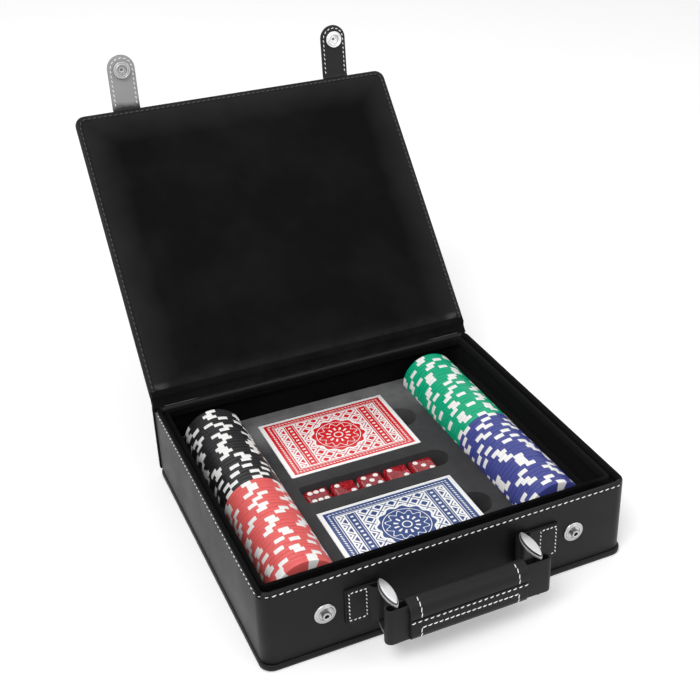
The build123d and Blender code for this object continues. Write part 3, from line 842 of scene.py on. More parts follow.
# How far below the rim the stitches pull the leather in, and where it ends inside, in mm
STITCH_DROP, TURN_IN = 1.85, 4.1
tray_rings = in_mm([(0.6, 0.0), (0.2, 0.25), (0.0, 0.8)], base_z) + [(0.0, middle_z)]
tray_rings += in_mm([
    (0.0, -3.2), (0.06, -2.5), (0.26, -STITCH_DROP), (0.14, -1.2), (0.3, -0.65), (0.65, -0.26),
    (1.1, -0.06), (1.6, 0.0), (2.1, -0.08), (2.7, -0.34), (3.3, -0.82), (3.8, -1.5), (4.15, -2.3),
    (4.3, -TURN_IN),
], rim_z)
tray_leather = grow("tray_leather", tray_low, tray_high, TRAY_CORNER, tray_rings)
open_middle(tray_leather)
thicken(tray_leather, LEATHER)
# The lid has rubbed the rim dull along the side walls
give(tray_leather, leather, dull_leather)
for face in tray_leather.data.polygons:
    from_side = tray_high.x - abs(face.center.x)
    from_end = tray_high.y - abs(face.center.y)
    on_rim = face.center.z > rim_z - 5 * MM and 0.7 * MM < from_side < 6 * MM
    face.material_index = int(on_rim and from_side < from_end)
smooth(tray_leather)
dress(tray_leather, leather, "case_leather", "tray", "tray_cover")

SEAM_INSET = 0.24 * MM
rim_path = rounded_path(
    (tray_low.x + SEAM_INSET, tray_low.y + SEAM_INSET), (tray_high.x - SEAM_INSET, tray_high.y - SEAM_INSET),
    TRAY_CORNER - SEAM_INSET, rim_z - STITCH_DROP * MM, 8,
)
rim_seam = sew("rim_seam", rim_path, closed=True, on_wall=True, gap=0.8 * MM)
dress(rim_seam, white_thread, "case_leather", "tray")
print("tray leather faces:", len(tray_leather.data.polygons))

# %% [markdown]
# At the back corners the leather doesn't end with the walls. It runs on to the spine and fills the
# gap between the two. From above it is a triangle, so a line of three points is filled and raised.

# %% Leather that runs on from the side walls to the spine
RUN = 9.0 * MM
run_height = rim_z - 2.9 * MM - base_z
for side, sign in (("left", -1), ("right", 1)):
    outer_x, back_y = tray_high.x - 0.02 * MM, tray_high.y + 0.1 * MM
    plan = [(outer_x, back_y - RUN), (outer_x, back_y), (outer_x - RUN, back_y)]
    run = chain("corner_leather_" + side, [(sign * x, y, base_z + 0.2 * MM) for x, y in plan])
    pick_all(run)
    bpy.ops.mesh.edge_face_add()
    bpy.ops.mesh.extrude_region_move(TRANSFORM_OT_translate={"value": (0, 0, run_height)})
    tidy(run)
    soften(run, 0.3 * MM)
    smooth(run)
    dress(run, leather, "case_leather", "tray")

# %% [markdown]
# The base board stands out a little all round, in a wrap with a well rounded edge. Its top ring
# goes under the walls, where the two meet in a dark crease.

# %% Leather round the base board
BASE_CORNER = 9.2 * MM
base_rings = in_mm([(1.6, 0.0), (0.95, 0.08), (0.4, 0.4), (0.1, 0.9), (0.0, 1.6)])
base_rings += in_mm([(0.0, -1.2), (0.08, -0.6), (0.3, -0.15), (0.7, 0.08), (1.2, 0.1), (2.4, 0.1)], base_z)
base_leather = grow("base_leather", base_low, base_high, BASE_CORNER, base_rings)
open_middle(base_leather, base_z)
thicken(base_leather, 0.6 * MM)
smooth(base_leather)
dress(base_leather, leather, "case_leather", "tray", "base_cover")

# %% [markdown]
# The spine is a board in leather that stands behind the back wall and carries the hinge. It is grown
# lying down, as a low block with one rounded edge, and then stood up against the wall.

# %% Leather of the spine behind the back wall
spine_place = Matrix.Translation((0, spine_low.y, 0)) @ Matrix(
    ((-1, 0, 0, 0), (0, 0, 1, 0), (0, 1, 0, 0), (0, 0, 0, 1))
)
spine_depth = spine_high.y - spine_low.y
spine_rings = [(0.0, 0.0)] + in_mm([(0.0, -0.9), (0.12, -0.45), (0.45, -0.12), (0.9, 0.0)], spine_depth)
spine_leather = grow(
    "spine_leather", (spine_low.x, spine_low.z), (spine_high.x, spine_high.z), 1.2 * MM, spine_rings, 4
)
put(spine_leather, spine_place)
tidy(spine_leather)
smooth(spine_leather)
dress(spine_leather, leather, "case_leather", "tray", "spine_cover")

# %% [markdown]
# The hinge is a strip of the same leather from the top of the spine to the back edge of the lid.
# It joins the tray and the lid, and bows out a little between its two ends.

# %% Leather hinge between the spine and the lid
hinge_low, hinge_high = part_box("hinge_strip")
hinge_bottom = Vector((0, (spine_low.y + spine_high.y) / 2 + 0.1 * MM, rim_z - 0.6 * MM))
hinge_top = lid_place @ Vector((0, lid_low.y + 0.8 * MM, -0.3 * MM))
hinge_bulge = Vector((0, 0.75 * MM, -0.25 * MM))
HINGE_STEPS = 12


def bowed(start, end, bulge, share):
    """A point between two others, bowed out most in the middle."""
    return start.lerp(end, share) + bulge * math.sin(math.pi * share)


hinge_path = [bowed(hinge_bottom, hinge_top, hinge_bulge, k / HINGE_STEPS) for k in range(HINGE_STEPS + 1)]
hinge_leather = strip("hinge_leather", hinge_path, (hinge_high.x - hinge_low.x, 0, 0))
thicken(hinge_leather, 1.3 * MM, 0)
soften(hinge_leather, 0.3 * MM)
smooth(hinge_leather)
dress(hinge_leather, leather, "case_leather", None, "hinge_strip")
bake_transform(hinge_leather)

# %% [markdown]
# Inside, the hinge is faced with the dull cloth of the linings. It runs from the top of the rim up over the
# lid's lower border to the lining panel, bowed like the leather behind it.

# %% Cloth inside the hinge
cloth_start = Vector((0, tray_high.y - 2.2 * MM, rim_z + 0.15 * MM))
cloth_end = lid_place @ Vector((0, lid_low.y - 0.2 * MM, lid_high.z + 0.3 * MM))
cloth_bulge = Vector((0, 0.9 * MM, 0))
CLOTH_STEPS = 10
cloth_path = [(0, tray_high.y - 2.9 * MM, rim_z - 0.3 * MM)]
cloth_path += [bowed(cloth_start, cloth_end, cloth_bulge, k / CLOTH_STEPS) for k in range(CLOTH_STEPS)]
cloth_path.append(cloth_end)
for run, lift in ((0.6, 0.32), (2.0, 0.3), (3.4, 0.18), (3.9, -0.1)):
    cloth_path.append(lid_place @ Vector((0, lid_low.y + run * MM, lid_high.z + lift * MM)))
cloth_width = lid_high.x - lid_low.x - 2.0 * MM
hinge_cloth = strip("hinge_cloth", cloth_path, (cloth_width, 0, 0))
thicken(hinge_cloth, 0.4 * MM, 0)
smooth(hinge_cloth)
dress(hinge_cloth, hinge_flock, "lining", None)
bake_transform(hinge_cloth)

# %% [markdown]
# Along the back rim the cloth ends in a thin fold, painted pale as a highlight along the rim and palest at
# its ends. A strip bent over a small arc is enough for it, because only its upper side can be seen.

# %% Folded edge of the cloth along the back rim
FOLD_RADIUS, FOLD_LENGTH = 0.24 * MM, 216 * MM
foot = (tray_high.y - 2.6 * MM, rim_z + 0.05 * MM)
fold_path = [(0, y, z) for y, z in arc(foot, FOLD_RADIUS, 200, 10, 6)]
cloth_fold = strip("cloth_fold", fold_path, (FOLD_LENGTH, 0, 0))
modify(cloth_fold, "SOLIDIFY", thickness=0.2 * MM, offset=0)
smooth(cloth_fold, 60)
dress(cloth_fold, edge_flock, "lining", "tray")

# %% [markdown]
# The lid is modelled flat, with its inner face up, and then turned up to its open place. The
# leather wraps the board and turns in over its border; the lining panel is glued inside.

# %% Leather of the lid
LID_CORNER = 8.2 * MM
lid_back, lid_face = lid_low.z, lid_high.z
lid_rings = in_mm([(1.5, 0.0), (0.9, 0.08), (0.38, 0.38), (0.1, 0.85), (0.0, 1.4)], lid_back)
lid_rings += in_mm([
    (0.0, -1.2), (0.1, -0.7), (0.38, -0.28), (0.9, -0.03), (1.5, 0.0), (3.0, -0.05), (3.6, -0.3),
    (3.8, -0.75),
], lid_face)
lid_leather = grow("lid_leather", lid_low, lid_high, LID_CORNER, lid_rings, square=True)
open_middle(lid_leather, 0.0, (lid_low.y + lid_high.y) / 2)
thicken(lid_leather, LEATHER)
put(lid_leather, lid_place)
smooth(lid_leather)
dress(lid_leather, leather, "case_leather", "lid", "lid_cover")

# %% [markdown]
# The panel is card covered with flock and glued inside the lid, a little softer at its edge than in the
# middle. Its map is laid while it is still flat, so that the painted sheen along the border of its finish
# fits it.

# %% Lining panel of the lid, slightly padded
def lay_map(piece, name, middle=(0.0, 0.0)):
    """Gives a flat piece a map in metres, counted from a point, for its finish to follow."""
    uv_map = piece.data.uv_layers.new(name=name)
    for corner in piece.data.loops:
        place = piece.data.vertices[corner.vertex_index].co
        uv_map.data[corner.index].uv = (place.x - middle[0], place.y - middle[1])


panel_rings = [(0.1 * MM, panel_low.z)]
panel_rings += in_mm([(0.05, -0.85), (0.2, -0.45), (0.6, -0.18), (1.4, -0.05), (3.0, 0.0)], panel_high.z)
lid_panel = grow("lid_lining_panel", panel_low, panel_high, LID_CORNER - 3.7 * MM, panel_rings)
lay_map(lid_panel, "panel", ((panel_low.x + panel_high.x) / 2, (panel_low.y + panel_high.y) / 2))
put(lid_panel, lid_place)
smooth(lid_panel)
dress(lid_panel, lid_flock, "lining", "lid", "lid_lining")

# %% [markdown]
# One seam goes up one side of the lid, over the top and down the other side, but not along the
# hinge. Its thread is dim grey inside and white outside, so the same path is sewn once for each.

# %% Stitching round the lid, dim inside and white outside
LID_SEAM_INSET = 2.7 * MM
seam_x, seam_top = lid_high.x - LID_SEAM_INSET, lid_high.y - LID_SEAM_INSET
seam_radius, seam_low = LID_CORNER - LID_SEAM_INSET, lid_low.y + 1.5 * MM
inside_path = [(seam_x, seam_low)]
inside_path += arc((seam_x - seam_radius, seam_top - seam_radius), seam_radius, 0, 90, 6)
inside_path += arc((seam_radius - seam_x, seam_top - seam_radius), seam_radius, 90, 180, 6)
inside_path += [(-seam_x, seam_low)]
outside_path = [(-x, y, -lid_back) for x, y in reversed(inside_path)]
inside_path = [(x, y, lid_face - 0.05 * MM) for x, y in inside_path]
lid_seam_inside = sew("lid_seam_inside", inside_path, grey_thread, place=lid_place, pitch=3.7 * MM)
dress(lid_seam_inside, grey_thread, "case_leather", "lid")
turn_over = Matrix.Rotation(math.pi, 4, "Y")
lid_seam_outside = sew("lid_seam_outside", outside_path, place=lid_place @ turn_over)
dress(lid_seam_outside, white_thread, "case_leather", "lid")

# %% [markdown]
# The inner walls are lined with flock on thin card. Near the top the card is folded into a ledge
# with a lip that stands up inside the rim, a little lower than it. At the front the lip stands
# further off the wall, and a dark groove shows between the two.

# %% Lining of the tray walls
CARD = 0.4 * MM
CAVITY_INSET = 1.4 * MM
lining_top = rim_z - TURN_IN * MM
lining_rings = [
    (0.1 * MM, lining_low.z), (0.1 * MM, lining_top), (CAVITY_INSET, lining_top - 0.1 * MM),
    (CAVITY_INSET, lining_low.z),
]
wall_lining = grow("wall_lining", lining_low, lining_high, 5.9 * MM, lining_rings)
open_middle(wall_lining)
thicken(wall_lining, CARD)

# %% [markdown]
# The lip is an outline of its own, grown up from the ledge, rounded over and led down again. The
# ledge is a flat frame below the groove, so that nothing shows through between wall and lip.

# %% Ledge and lip of the lining
LIP = 2.8
lip_low = (lining_low.x + 1.3 * MM, lining_low.y + 5.7 * MM)
lip_high = (lining_high.x - 1.3 * MM, lining_high.y - 1.3 * MM)
lip_rings = in_mm([(-0.35, -0.1), (0.0, 0.1)], lining_top)
lip_rings += in_mm([
    (0.0, -0.75), (0.12, -0.4), (0.45, -0.1), (0.95, 0.0), (LIP - 0.95, 0.0), (LIP - 0.45, -0.12),
    (LIP - 0.12, -0.45), (LIP, -0.9),
], lining_high.z)
lip_rings += in_mm([(LIP, -2.3)], lining_top)
lining_lip = grow("lining_lip", lip_low, lip_high, 4.1 * MM, lip_rings)
open_middle(lining_lip)
thicken(lining_lip, CARD)
# The ledge between the wall and the lip, seen only down in the groove
LEDGE_INSET = 1.2 * MM
ledge = rounded_face(
    "ledge", (lining_low.x + LEDGE_INSET, lining_low.y + LEDGE_INSET),
    (lining_high.x - LEDGE_INSET, lining_high.y - LEDGE_INSET), lining_top - 2.2 * MM, 4.5 * MM,
)
pick_all(ledge)
bpy.ops.mesh.select_mode(type="FACE")
bpy.ops.mesh.inset(thickness=LEDGE_INSET, depth=0.0)
# The inner face is brought to the size and place of the lip's opening, and cut out
to_hole = (LIP - 0.2) * MM
hole_size = [lip_high[i] - lip_low[i] - 2 * to_hole for i in (0, 1)]
face_size = [lining_high[i] - lining_low[i] - 4 * LEDGE_INSET for i in (0, 1)]
bpy.ops.transform.resize(
    value=(hole_size[0] / face_size[0], hole_size[1] / face_size[1], 1), center_override=(0, 0, 0)
)
bpy.ops.transform.translate(value=(0, (lip_low[1] + lip_high[1]) / 2, 0))
bpy.ops.mesh.delete(type="FACE")
choose(ledge)
modify(ledge, "SOLIDIFY", thickness=1.2 * MM, offset=1)
wall_lining = join([wall_lining, lining_lip, ledge], "wall_lining")
smooth(wall_lining)
dress(wall_lining, lining_flock, "lining", "tray", "tray_lining")

# %% [markdown]
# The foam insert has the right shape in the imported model, but flocked foam has no sharp edges. A
# copy of the node is merged back from loose triangles, its flat faces are dissolved into one, and
# its edges are rounded.

# %% Foam insert with soft edges
foam_block = copy_of(frame["nodes"]["foam_insert"], "foam_block")
foam_block.data.materials.clear()
tidy(foam_block)
bpy.ops.mesh.customdata_custom_splitnormals_clear()
pick_all(foam_block)
bpy.ops.mesh.dissolve_limited(angle_limit=math.radians(0.8))
choose(foam_block)
soften(foam_block, 0.9 * MM, 4, 35)
smooth(foam_block, 30)
dress(foam_block, foam_flock, "foam", "tray", "foam_insert")
print("foam faces:", len(foam_block.data.polygons))

# %% [markdown]
# A closing strap is two layers of leather sewn together, with a round tip. It is cut flat, given cross cuts
# where it bends, and bent back at the lid's edge.

# %% Cut and bend a closing strap
STRAP_BEND = math.radians(38)
BEND_HALF = 1.6 * MM
STRAP_ROOT = -4.2 * MM
STRAP_THICK = 2.0 * MM
CUT_STEP = 0.55 * MM
strap_folds = {side: Vector(joints[f"strap_{side}_fold"]["pos_m"]) for side in ("left", "right")}
strap_places = {
    side: panel_place(fold, lid_opening - STRAP_BEND) for side, fold in strap_folds.items()
}
strap_low, strap_high = local_box("closing_strap_left", strap_places["left"])
strap_half, strap_tip = (strap_high.x - strap_low.x) / 2, strap_high.y


def bent(point):
    """A point of the flat strap after its root has been bent towards the lid."""
    back = BEND_HALF - point.y
    if back <= 0:
        return point
    radius = 2 * BEND_HALF / STRAP_BEND
    turn = min(back / (2 * BEND_HALF), 1) * STRAP_BEND
    rest = max(back - 2 * BEND_HALF, 0)
    y = BEND_HALF - radius * math.sin(turn) - rest * math.cos(turn)
    z = radius * (1 - math.cos(turn)) + rest * math.sin(turn)
    return Vector((point.x, y + point.z * math.sin(turn), z + point.z * math.cos(turn)))


# %% Make both straps
def make_strap(side):
    """One strap in its place, leather only."""
    bpy.ops.mesh.primitive_plane_add(size=1, location=(0, (STRAP_ROOT + strap_tip) / 2, 0))
    piece = named("strap_leather_" + side, (2 * strap_half, strap_tip - STRAP_ROOT, 1))
    pick(piece, "VERT", lambda place, normal: place.y > 0)
    bpy.ops.mesh.bevel(affect="VERTICES", offset=strap_half - 0.02 * MM, segments=14)
    for k in range(1, 12):
        pick_all(piece)
        bpy.ops.mesh.bisect(plane_co=(0, STRAP_ROOT + k * CUT_STEP, 0), plane_no=(0, 1, 0))
    thicken(piece, STRAP_THICK, 0)
    soften(piece, 0.55 * MM, 3, 50)
    lay_map(piece, "strap")
    give(piece, closing_leather)
    # On the left strap the inner face gets the leather with the painted reflection
    if side == "left":
        give(piece, rubbed_leather)
        for face in piece.data.polygons:
            face.material_index = int(face.normal.z > 0.2)
    for vertex in piece.data.vertices:
        vertex.co = bent(vertex.co.copy())
    put(piece, strap_places[side])
    smooth(piece)
    return piece


for side, fold_point in strap_folds.items():
    leather_strap = make_strap(side)
    dress(leather_strap, closing_leather, "case_leather", None, f"closing_strap_{side}")
    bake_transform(leather_strap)

# %% [markdown]
# One seam along the sides and round the tip holds the two layers of a strap, and shows on both
# faces. The row outside is the row inside, turned over.

# %% Sew the straps, inside and outside
side_x, seam_start = strap_half - 2.0 * MM, 2.2 * MM
tip_arc = arc((0, strap_tip - strap_half), side_x, 0, 180, 14)
outline = [(side_x, seam_start)] + tip_arc + [(-side_x, seam_start)]
path = [(x, y, STRAP_THICK / 2 - 0.02 * MM) for x, y in outline]
for side, place in strap_places.items():
    rows = [
        sew("strap_row", path, place=place @ turn, pitch=3.3 * MM, gap=0.8 * MM)
        for turn in (Matrix.Identity(4), turn_over)
    ]
    strap_seam = join(rows, f"strap_seam_{side}")
    dress(strap_seam, white_thread, "case_leather", f"strap_{side}")

# %% [markdown]
# A snap is four turned parts: a domed cap outside the strap, a socket ring inside it with an eyelet
# in the middle, and on the wall a stud with a flange, a raised ring and a hollow post. Each profile
# runs from the axis outwards, as on a lathe.

# %% Profiles of the snap parts
socket_low, socket_high = local_box("snap_socket_left", strap_places["left"])
socket_y = (socket_low.y + socket_high.y) / 2
cap_profile = in_mm([
    (0.0, 1.75), (1.8, 1.7), (3.4, 1.5), (4.8, 1.15), (5.7, 0.75), (6.25, 0.35), (6.4, 0.1), (6.3, 0.0),
    (0.0, 0.0),
])
socket_profile = in_mm([
    (3.45, 0.15), (3.45, 2.0), (3.6, 2.4), (3.95, 2.6), (4.35, 2.5), (4.5, 2.2), (4.6, 2.05), (4.95, 2.05),
    (5.15, 2.3), (5.45, 2.35), (5.75, 2.1), (5.9, 1.7), (5.9, 0.3), (5.75, 0.0), (3.6, 0.0), (3.45, 0.15),
])
eyelet_profile = in_mm([
    (0.0, 0.12), (0.8, 0.12), (1.0, 0.45), (1.5, 0.62), (2.2, 0.55), (2.45, 0.35), (2.5, 0.2), (3.4, 0.2),
])
stud_profile = in_mm([
    (0.0, 0.6), (1.25, 0.6), (1.3, 3.05), (1.45, 3.25), (1.8, 3.3), (2.35, 3.18), (2.65, 2.85),
    (2.65, 2.4), (2.35, 1.9), (2.3, 1.0), (2.45, 0.95), (3.75, 0.95), (3.9, 1.2), (4.35, 1.28),
    (4.85, 1.2), (5.0, 0.95), (5.15, 0.85), (5.9, 0.85), (6.25, 0.7), (6.4, 0.35), (6.35, 0.0), (0.0, 0.0),
])
outward_from_wall = Matrix(((1, 0, 0, 0), (0, 0, -1, 0), (0, 1, 0, 0), (0, 0, 0, 1)))


# %% Turn the parts and press them on
def darken(piece, metal, rings):
    """Gives the grooves and hollows of a turned part, named as (inner, outer, highest) in mm, painted shade
    in dark nickel.
    """
    give(piece, metal, dull_nickel)
    for face in piece.data.polygons:
        reach = face.center.xy.length
        for inner, outer, highest in rings:
            if inner * MM <= reach <= outer * MM and face.center.z < highest * MM:
                face.material_index = 1


for side, place in strap_places.items():
    cap = turned(f"snap_cap_{side}_dome", cap_profile)
    put(cap, place @ Matrix.Translation((0, socket_y, -STRAP_THICK / 2)) @ turn_over)
    smooth(cap, 50)
    dress(cap, snap_nickel, "snap_metal", f"strap_{side}", f"snap_cap_{side}")
    ring_and_eyelet = [turned("ring", socket_profile), turned("eyelet", eyelet_profile, 32)]
    socket = join(ring_and_eyelet, f"snap_socket_ring_{side}")
    darken(socket, worn_nickel if side == "left" else socket_nickel, [(0.0, 0.9, 1.5)])
    put(socket, place @ Matrix.Translation((0, socket_y, STRAP_THICK / 2)))
    smooth(socket, 50)
    dress(socket, snap_nickel, "snap_metal", f"strap_{side}", f"snap_socket_{side}")
    low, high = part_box(f"snap_stud_{side}")
    stud = turned(f"snap_stud_turned_{side}", stud_profile)
    darken(stud, stud_nickel, [(0.0, 1.29, 2.9), (1.95, 2.7, 3.2), (3.55, 4.0, 1.25), (4.9, 5.2, 0.95)])
    stud_middle = ((low.x + high.x) / 2, front_y, (low.z + high.z) / 2)
    put(stud, Matrix.Translation(stud_middle) @ outward_from_wall)
    smooth(stud, 50)
    dress(stud, snap_nickel, "snap_metal", "tray", f"snap_stud_{side}")

# %% [markdown]
# Each handle tab is one strip of leather, folded double: it is sewn to the wall, runs out round
# the ring's bar and comes back over itself. The strip's path is drawn from above, and Solidify
# gives it its thickness.

# %% Handle tabs folded round the rings
tab_low, tab_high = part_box("handle_tab_right")
band_low, band_high = tab_low.z, tab_high.z
ring_x = {side: joints[f"ring_{side}_swing"]["pos_m"][0] for side in ("left", "right")}
wall_bar_y = joints["ring_right_swing"]["pos_m"][1]
outer_bar_y = joints["handle_turn"]["pos_m"][1]
TAB_LAYER = 1.15 * MM
TAB_LOOP = 2.75 * MM
tab_end = tab_high.x


def tab_path(sign, bar_x):
    """The folded strip from above, from its end on the wall round the bar and back."""
    inner_y = front_y - TAB_LAYER / 2 - 0.03 * MM
    outer_y = inner_y - TAB_LAYER - 0.03 * MM
    points = [(tab_end - 0.1 * MM, inner_y), (bar_x + 12 * MM, inner_y), (bar_x + 6 * MM, inner_y - 0.1 * MM)]
    points += arc((bar_x, wall_bar_y), TAB_LOOP, 80, 290, 16)
    points += [(bar_x + 4.4 * MM, wall_bar_y - 1.2 * MM), (bar_x + 6.4 * MM, outer_y - 0.25 * MM)]
    points += [(bar_x + 7.6 * MM, outer_y), (tab_end - 1.1 * MM, outer_y)]
    return [(sign * x, y, (band_low + band_high) / 2) for x, y in points]


for side, sign in (("left", -1), ("right", 1)):
    tab = strip(f"tab_leather_{side}", tab_path(sign, sign * ring_x[side]), (0, 0, band_high - band_low))
    thicken(tab, TAB_LAYER, 0)
    soften(tab, 0.35 * MM, 3, 45)
    smooth(tab)
    dress(tab, strap_leather, "case_leather", "tray", f"handle_tab_{side}")
    edges = sorted((sign * (tab_end - 12.4 * MM), sign * (tab_end - 2.1 * MM)))
    patch = rounded_path((edges[0], band_low + 2.6 * MM), (edges[1], band_high - 1.4 * MM), 0.5 * MM, 0, 2)
    on_tab = Matrix.Translation((0, front_y - 2 * TAB_LAYER - 0.05 * MM, 0)) @ outward_from_wall
    tab_seam = sew(f"tab_seam_{side}", patch, closed=True, place=on_tab, pitch=2.6 * MM, gap=0.7 * MM)
    dress(tab_seam, white_thread, "case_leather", "tray")

# %% [markdown]
# A ring is two almond plates, above and below, joined by two bars that the leather loops run on.
# The plate is a circle pulled to an almond, raised, stepped in by a groove line and domed.

# %% Metal rings with almond plates
ring_low, ring_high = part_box("handle_ring_right")
ring_middle, ring_half = (ring_low + ring_high) / 2, (ring_high - ring_low) / 2
PLATE_THICK = 3.1 * MM
FULLNESS = 0.72
# Steps of (inward, rise) in mm, from the inner face out over the groove and the dome
PLATE_STEPS = [
    (0.0, 1.3), (0.2, 0.12), (0.06, -0.26), (0.16, 0.0), (0.05, 0.32),
    (0.05, 1.05), (0.1, 0.3), (0.15, 0.17), (0.25, 0.07), (0.5, 0.03),
]


def make_plate():
    """An almond plate lying flat, with its outer face up."""
    bpy.ops.mesh.primitive_circle_add(vertices=64, radius=1, fill_type="NGON")
    piece = bpy.context.object
    for vertex in piece.data.vertices:
        share = vertex.co.y
        fullness = max(1 - share * share, 0) ** FULLNESS
        vertex.co.x = ring_half.x * math.copysign(fullness, vertex.co.x)
        vertex.co.y = ring_half.y * share
    pick_all(piece)
    bpy.ops.mesh.select_mode(type="FACE")
    half_x, half_y = ring_half.x, ring_half.y
    for inward, rise in PLATE_STEPS:
        bpy.ops.mesh.extrude_region_move(TRANSFORM_OT_translate={"value": (0, 0, rise * MM)})
        next_x, next_y = half_x - inward * MM, half_y - 1.7 * inward * MM
        bpy.ops.transform.resize(value=(next_x / half_x, next_y / half_y, 1), center_override=(0, 0, 0))
        half_x, half_y = next_x, next_y
    tidy(piece)
    give(piece, ring_nickel, dull_nickel)
    # The groove line and the inner face get the dark nickel as painted shade
    for face in piece.data.polygons:
        height = face.center.z / MM
        in_groove = 1.1 < height < 1.34 or 1.5 < height < 2.4
        face.material_index = int(in_groove or face.normal.z < -0.5)
    return piece


# %% Join the plates with their bars
bar_half = ring_half.z - PLATE_THICK + 0.4 * MM
bar_profile = [(0.0, -bar_half), (1.5 * MM, -bar_half), (1.5 * MM, bar_half), (0.0, bar_half)]
for side in ("left", "right"):
    parts = []
    plates = ((ring_high.z - PLATE_THICK, Matrix.Identity(4)), (ring_low.z + PLATE_THICK, turn_over))
    for height, turn in plates:
        parts.append(make_plate())
        put(parts[-1], Matrix.Translation((ring_x[side], ring_middle.y, height)) @ turn)
    for bar_y in (wall_bar_y, outer_bar_y):
        parts.append(turned("bar", bar_profile, 24))
        give(parts[-1], dull_nickel)
        put(parts[-1], Matrix.Translation((ring_x[side], bar_y, middle_z)))
    ring = join(parts, f"ring_plates_{side}")
    smooth(ring, 30)
    dress(ring, ring_nickel, "ring_metal", f"ring_{side}", f"handle_ring_{side}")

# %% [markdown]
# The handle is a closed band of leather that loops round both rings, with a padded grip sewn
# round its middle. The grip's upper flap ends over the lower one, which is stitched twice there.

# %% Leather band through both rings
loop_low, loop_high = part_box("handle_strap")
BAND_LAYER = 1.4 * MM
loop_x = (loop_high.x + loop_low.x) / 2
loop_end = (loop_high.x - loop_low.x) / 2
loop_turn = (loop_high.y - loop_low.y) / 2 - BAND_LAYER / 2
loop_middle = loop_end - BAND_LAYER / 2 - loop_turn
waist = loop_turn - 0.25 * MM
loop_path = arc((loop_middle, outer_bar_y), loop_turn, -90, 90, 16)
loop_path += [(x * MM, outer_bar_y + waist) for x in (34, 0, -34)]
loop_path += arc((-loop_middle, outer_bar_y), loop_turn, 90, 270, 16)
loop_path += [(x * MM, outer_bar_y - waist) for x in (-34, 0, 34)]
loop_path = [(loop_x + x, y, middle_z) for x, y in loop_path + loop_path[:1]]
handle_band = strip("handle_band", loop_path, (0, 0, loop_high.z - loop_low.z))
thicken(handle_band, BAND_LAYER, 0)
soften(handle_band, 0.4 * MM, 3, 45)
smooth(handle_band, 45)
dress(handle_band, strap_leather, "case_leather", "handle", "handle_strap")

# %% [markdown]
# The grip is padding in leather, thicker than the band and rounded at its ends. It is grown like a
# panel, with the handle's length as its height, and then laid along the band.

# %% Padded grip
grip_low, grip_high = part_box("handle_grip")
grip_half = (grip_high.x - grip_low.x) / 2
grip_x = (grip_high.x + grip_low.x) / 2
half_y, half_z = (grip_high.y - grip_low.y) / 2, grip_high.z - middle_z
GRIP_CORNER = 6.2 * MM
FLAP = 0.9 * MM
# The grip is grown along its length and then laid along X: x of the section looks to the back
along_x = Matrix.Translation((grip_x, outer_bar_y, middle_z)) @ Matrix(
    ((0, 0, 1, 0), (1, 0, 0, 0), (0, 1, 0, 0), (0, 0, 0, 1))
)
body_half = grip_half - 0.7 * MM
end_roll = [(1.5, 0.7), (1.1, 0.0), (0.5, 0.1), (0.1, 0.5), (0.0, 1.2)]
body_rings = [(2 * FLAP + inset * MM, -body_half + run * MM) for inset, run in end_roll]
body_rings += [(2 * FLAP, 0.0)]
body_rings += [(2 * FLAP + inset * MM, body_half - run * MM) for inset, run in reversed(end_roll)]
grip_body = grow("grip_body", (-half_y, grip_low.z - middle_z), (half_y, half_z), GRIP_CORNER, body_rings)
put(grip_body, along_x)
tidy(grip_body)
smooth(grip_body)
dress(grip_body, strap_leather, "case_leather", "handle", "handle_grip")


# %% [markdown]
# Two flaps of leather wrap the padding. The lower one ends in a step on the front face, and the upper one
# laps over it; the step is dark, partly from the fold's black edge and partly painted shade under the upper
# flap's edge. Each is a strip whose path is a part of the grip's rounded section.

# %% Two flaps round the grip
def grip_outline(offset, start, end):
    """Points round the grip's section from the back over the top, in front and under, moved in."""
    radius, side, top = GRIP_CORNER - offset, half_y - GRIP_CORNER, half_z - GRIP_CORNER
    outline = [(half_y - offset, 0.0)]
    outline += arc((side, top), radius, 0, 90, 8) + arc((-side, top), radius, 90, 180, 8)
    outline += [(-half_y + offset, 0.0)]
    outline += arc((-side, -top), radius, 180, 270, 8) + arc((side, -top), radius, 270, 360, 8)
    return outline[start:end]


# The upper flap lies over the lower one and ends on the front face
FLAP_EDGE = 3.8 * MM
upper = grip_outline(FLAP / 2, 0, 19) + [(-half_y + FLAP / 2, FLAP_EDGE)]
lower_front = ((5.4, 2.3), (2.7, 2.25), (2.45, 1.25), (0.6, 0.85))
lower = [(-half_y + depth * MM, height * MM) for height, depth in lower_front]
lower += grip_outline(0.63 * MM, 20, 38) + [(half_y - 1.5 * FLAP, y * MM) for y in (-1.0, 2.0)]
for name, section, length in (("upper", upper, 2 * grip_half), ("lower", lower, 2 * grip_half - 1.4 * MM)):
    path = [(grip_x, outer_bar_y + y, middle_z + z) for y, z in section]
    flap = strip("grip_flap_" + name, path, (length, 0, 0))
    thicken(flap, FLAP, 0)
    soften(flap, 0.35 * MM, 3, 45)
    smooth(flap, 45)
    # Under the upper flap's edge the lower one gets the black lining flock: partly the black edge of the
    # fold, partly painted shade in the groove
    give(flap, strap_leather, lining_flock)
    for face in flap.data.polygons:
        height, depth = face.center.z - middle_z, face.center.y - (outer_bar_y - half_y)
        if name == "lower" and 2.5 * MM < height < 6 * MM and depth < 3.5 * MM:
            face.material_index = 1
    dress(flap, strap_leather, "case_leather", "handle")

# %% [markdown]
# A long row runs along the upper flap and a shorter one along the lower flap. From each end of the
# shorter one a row goes up over the top and another goes underneath.

# %% Stitching of the grip
LEG_X = 29.8
LOW_ROW = -3.1
front_face = Matrix.Translation((grip_x, outer_bar_y - half_y, middle_z)) @ outward_from_wall
rows = []
for height, depth, reach, pitch, gap in ((1.2, 0.5, 36.2, 3.55, 0.95), (LOW_ROW, 0.26, LEG_X, 3.35, 0.3)):
    path = [(x * MM, height * MM, -depth * MM) for x in (-reach, reach)]
    rows.append(sew("row", path, place=front_face, pitch=pitch * MM, gap=gap * MM))
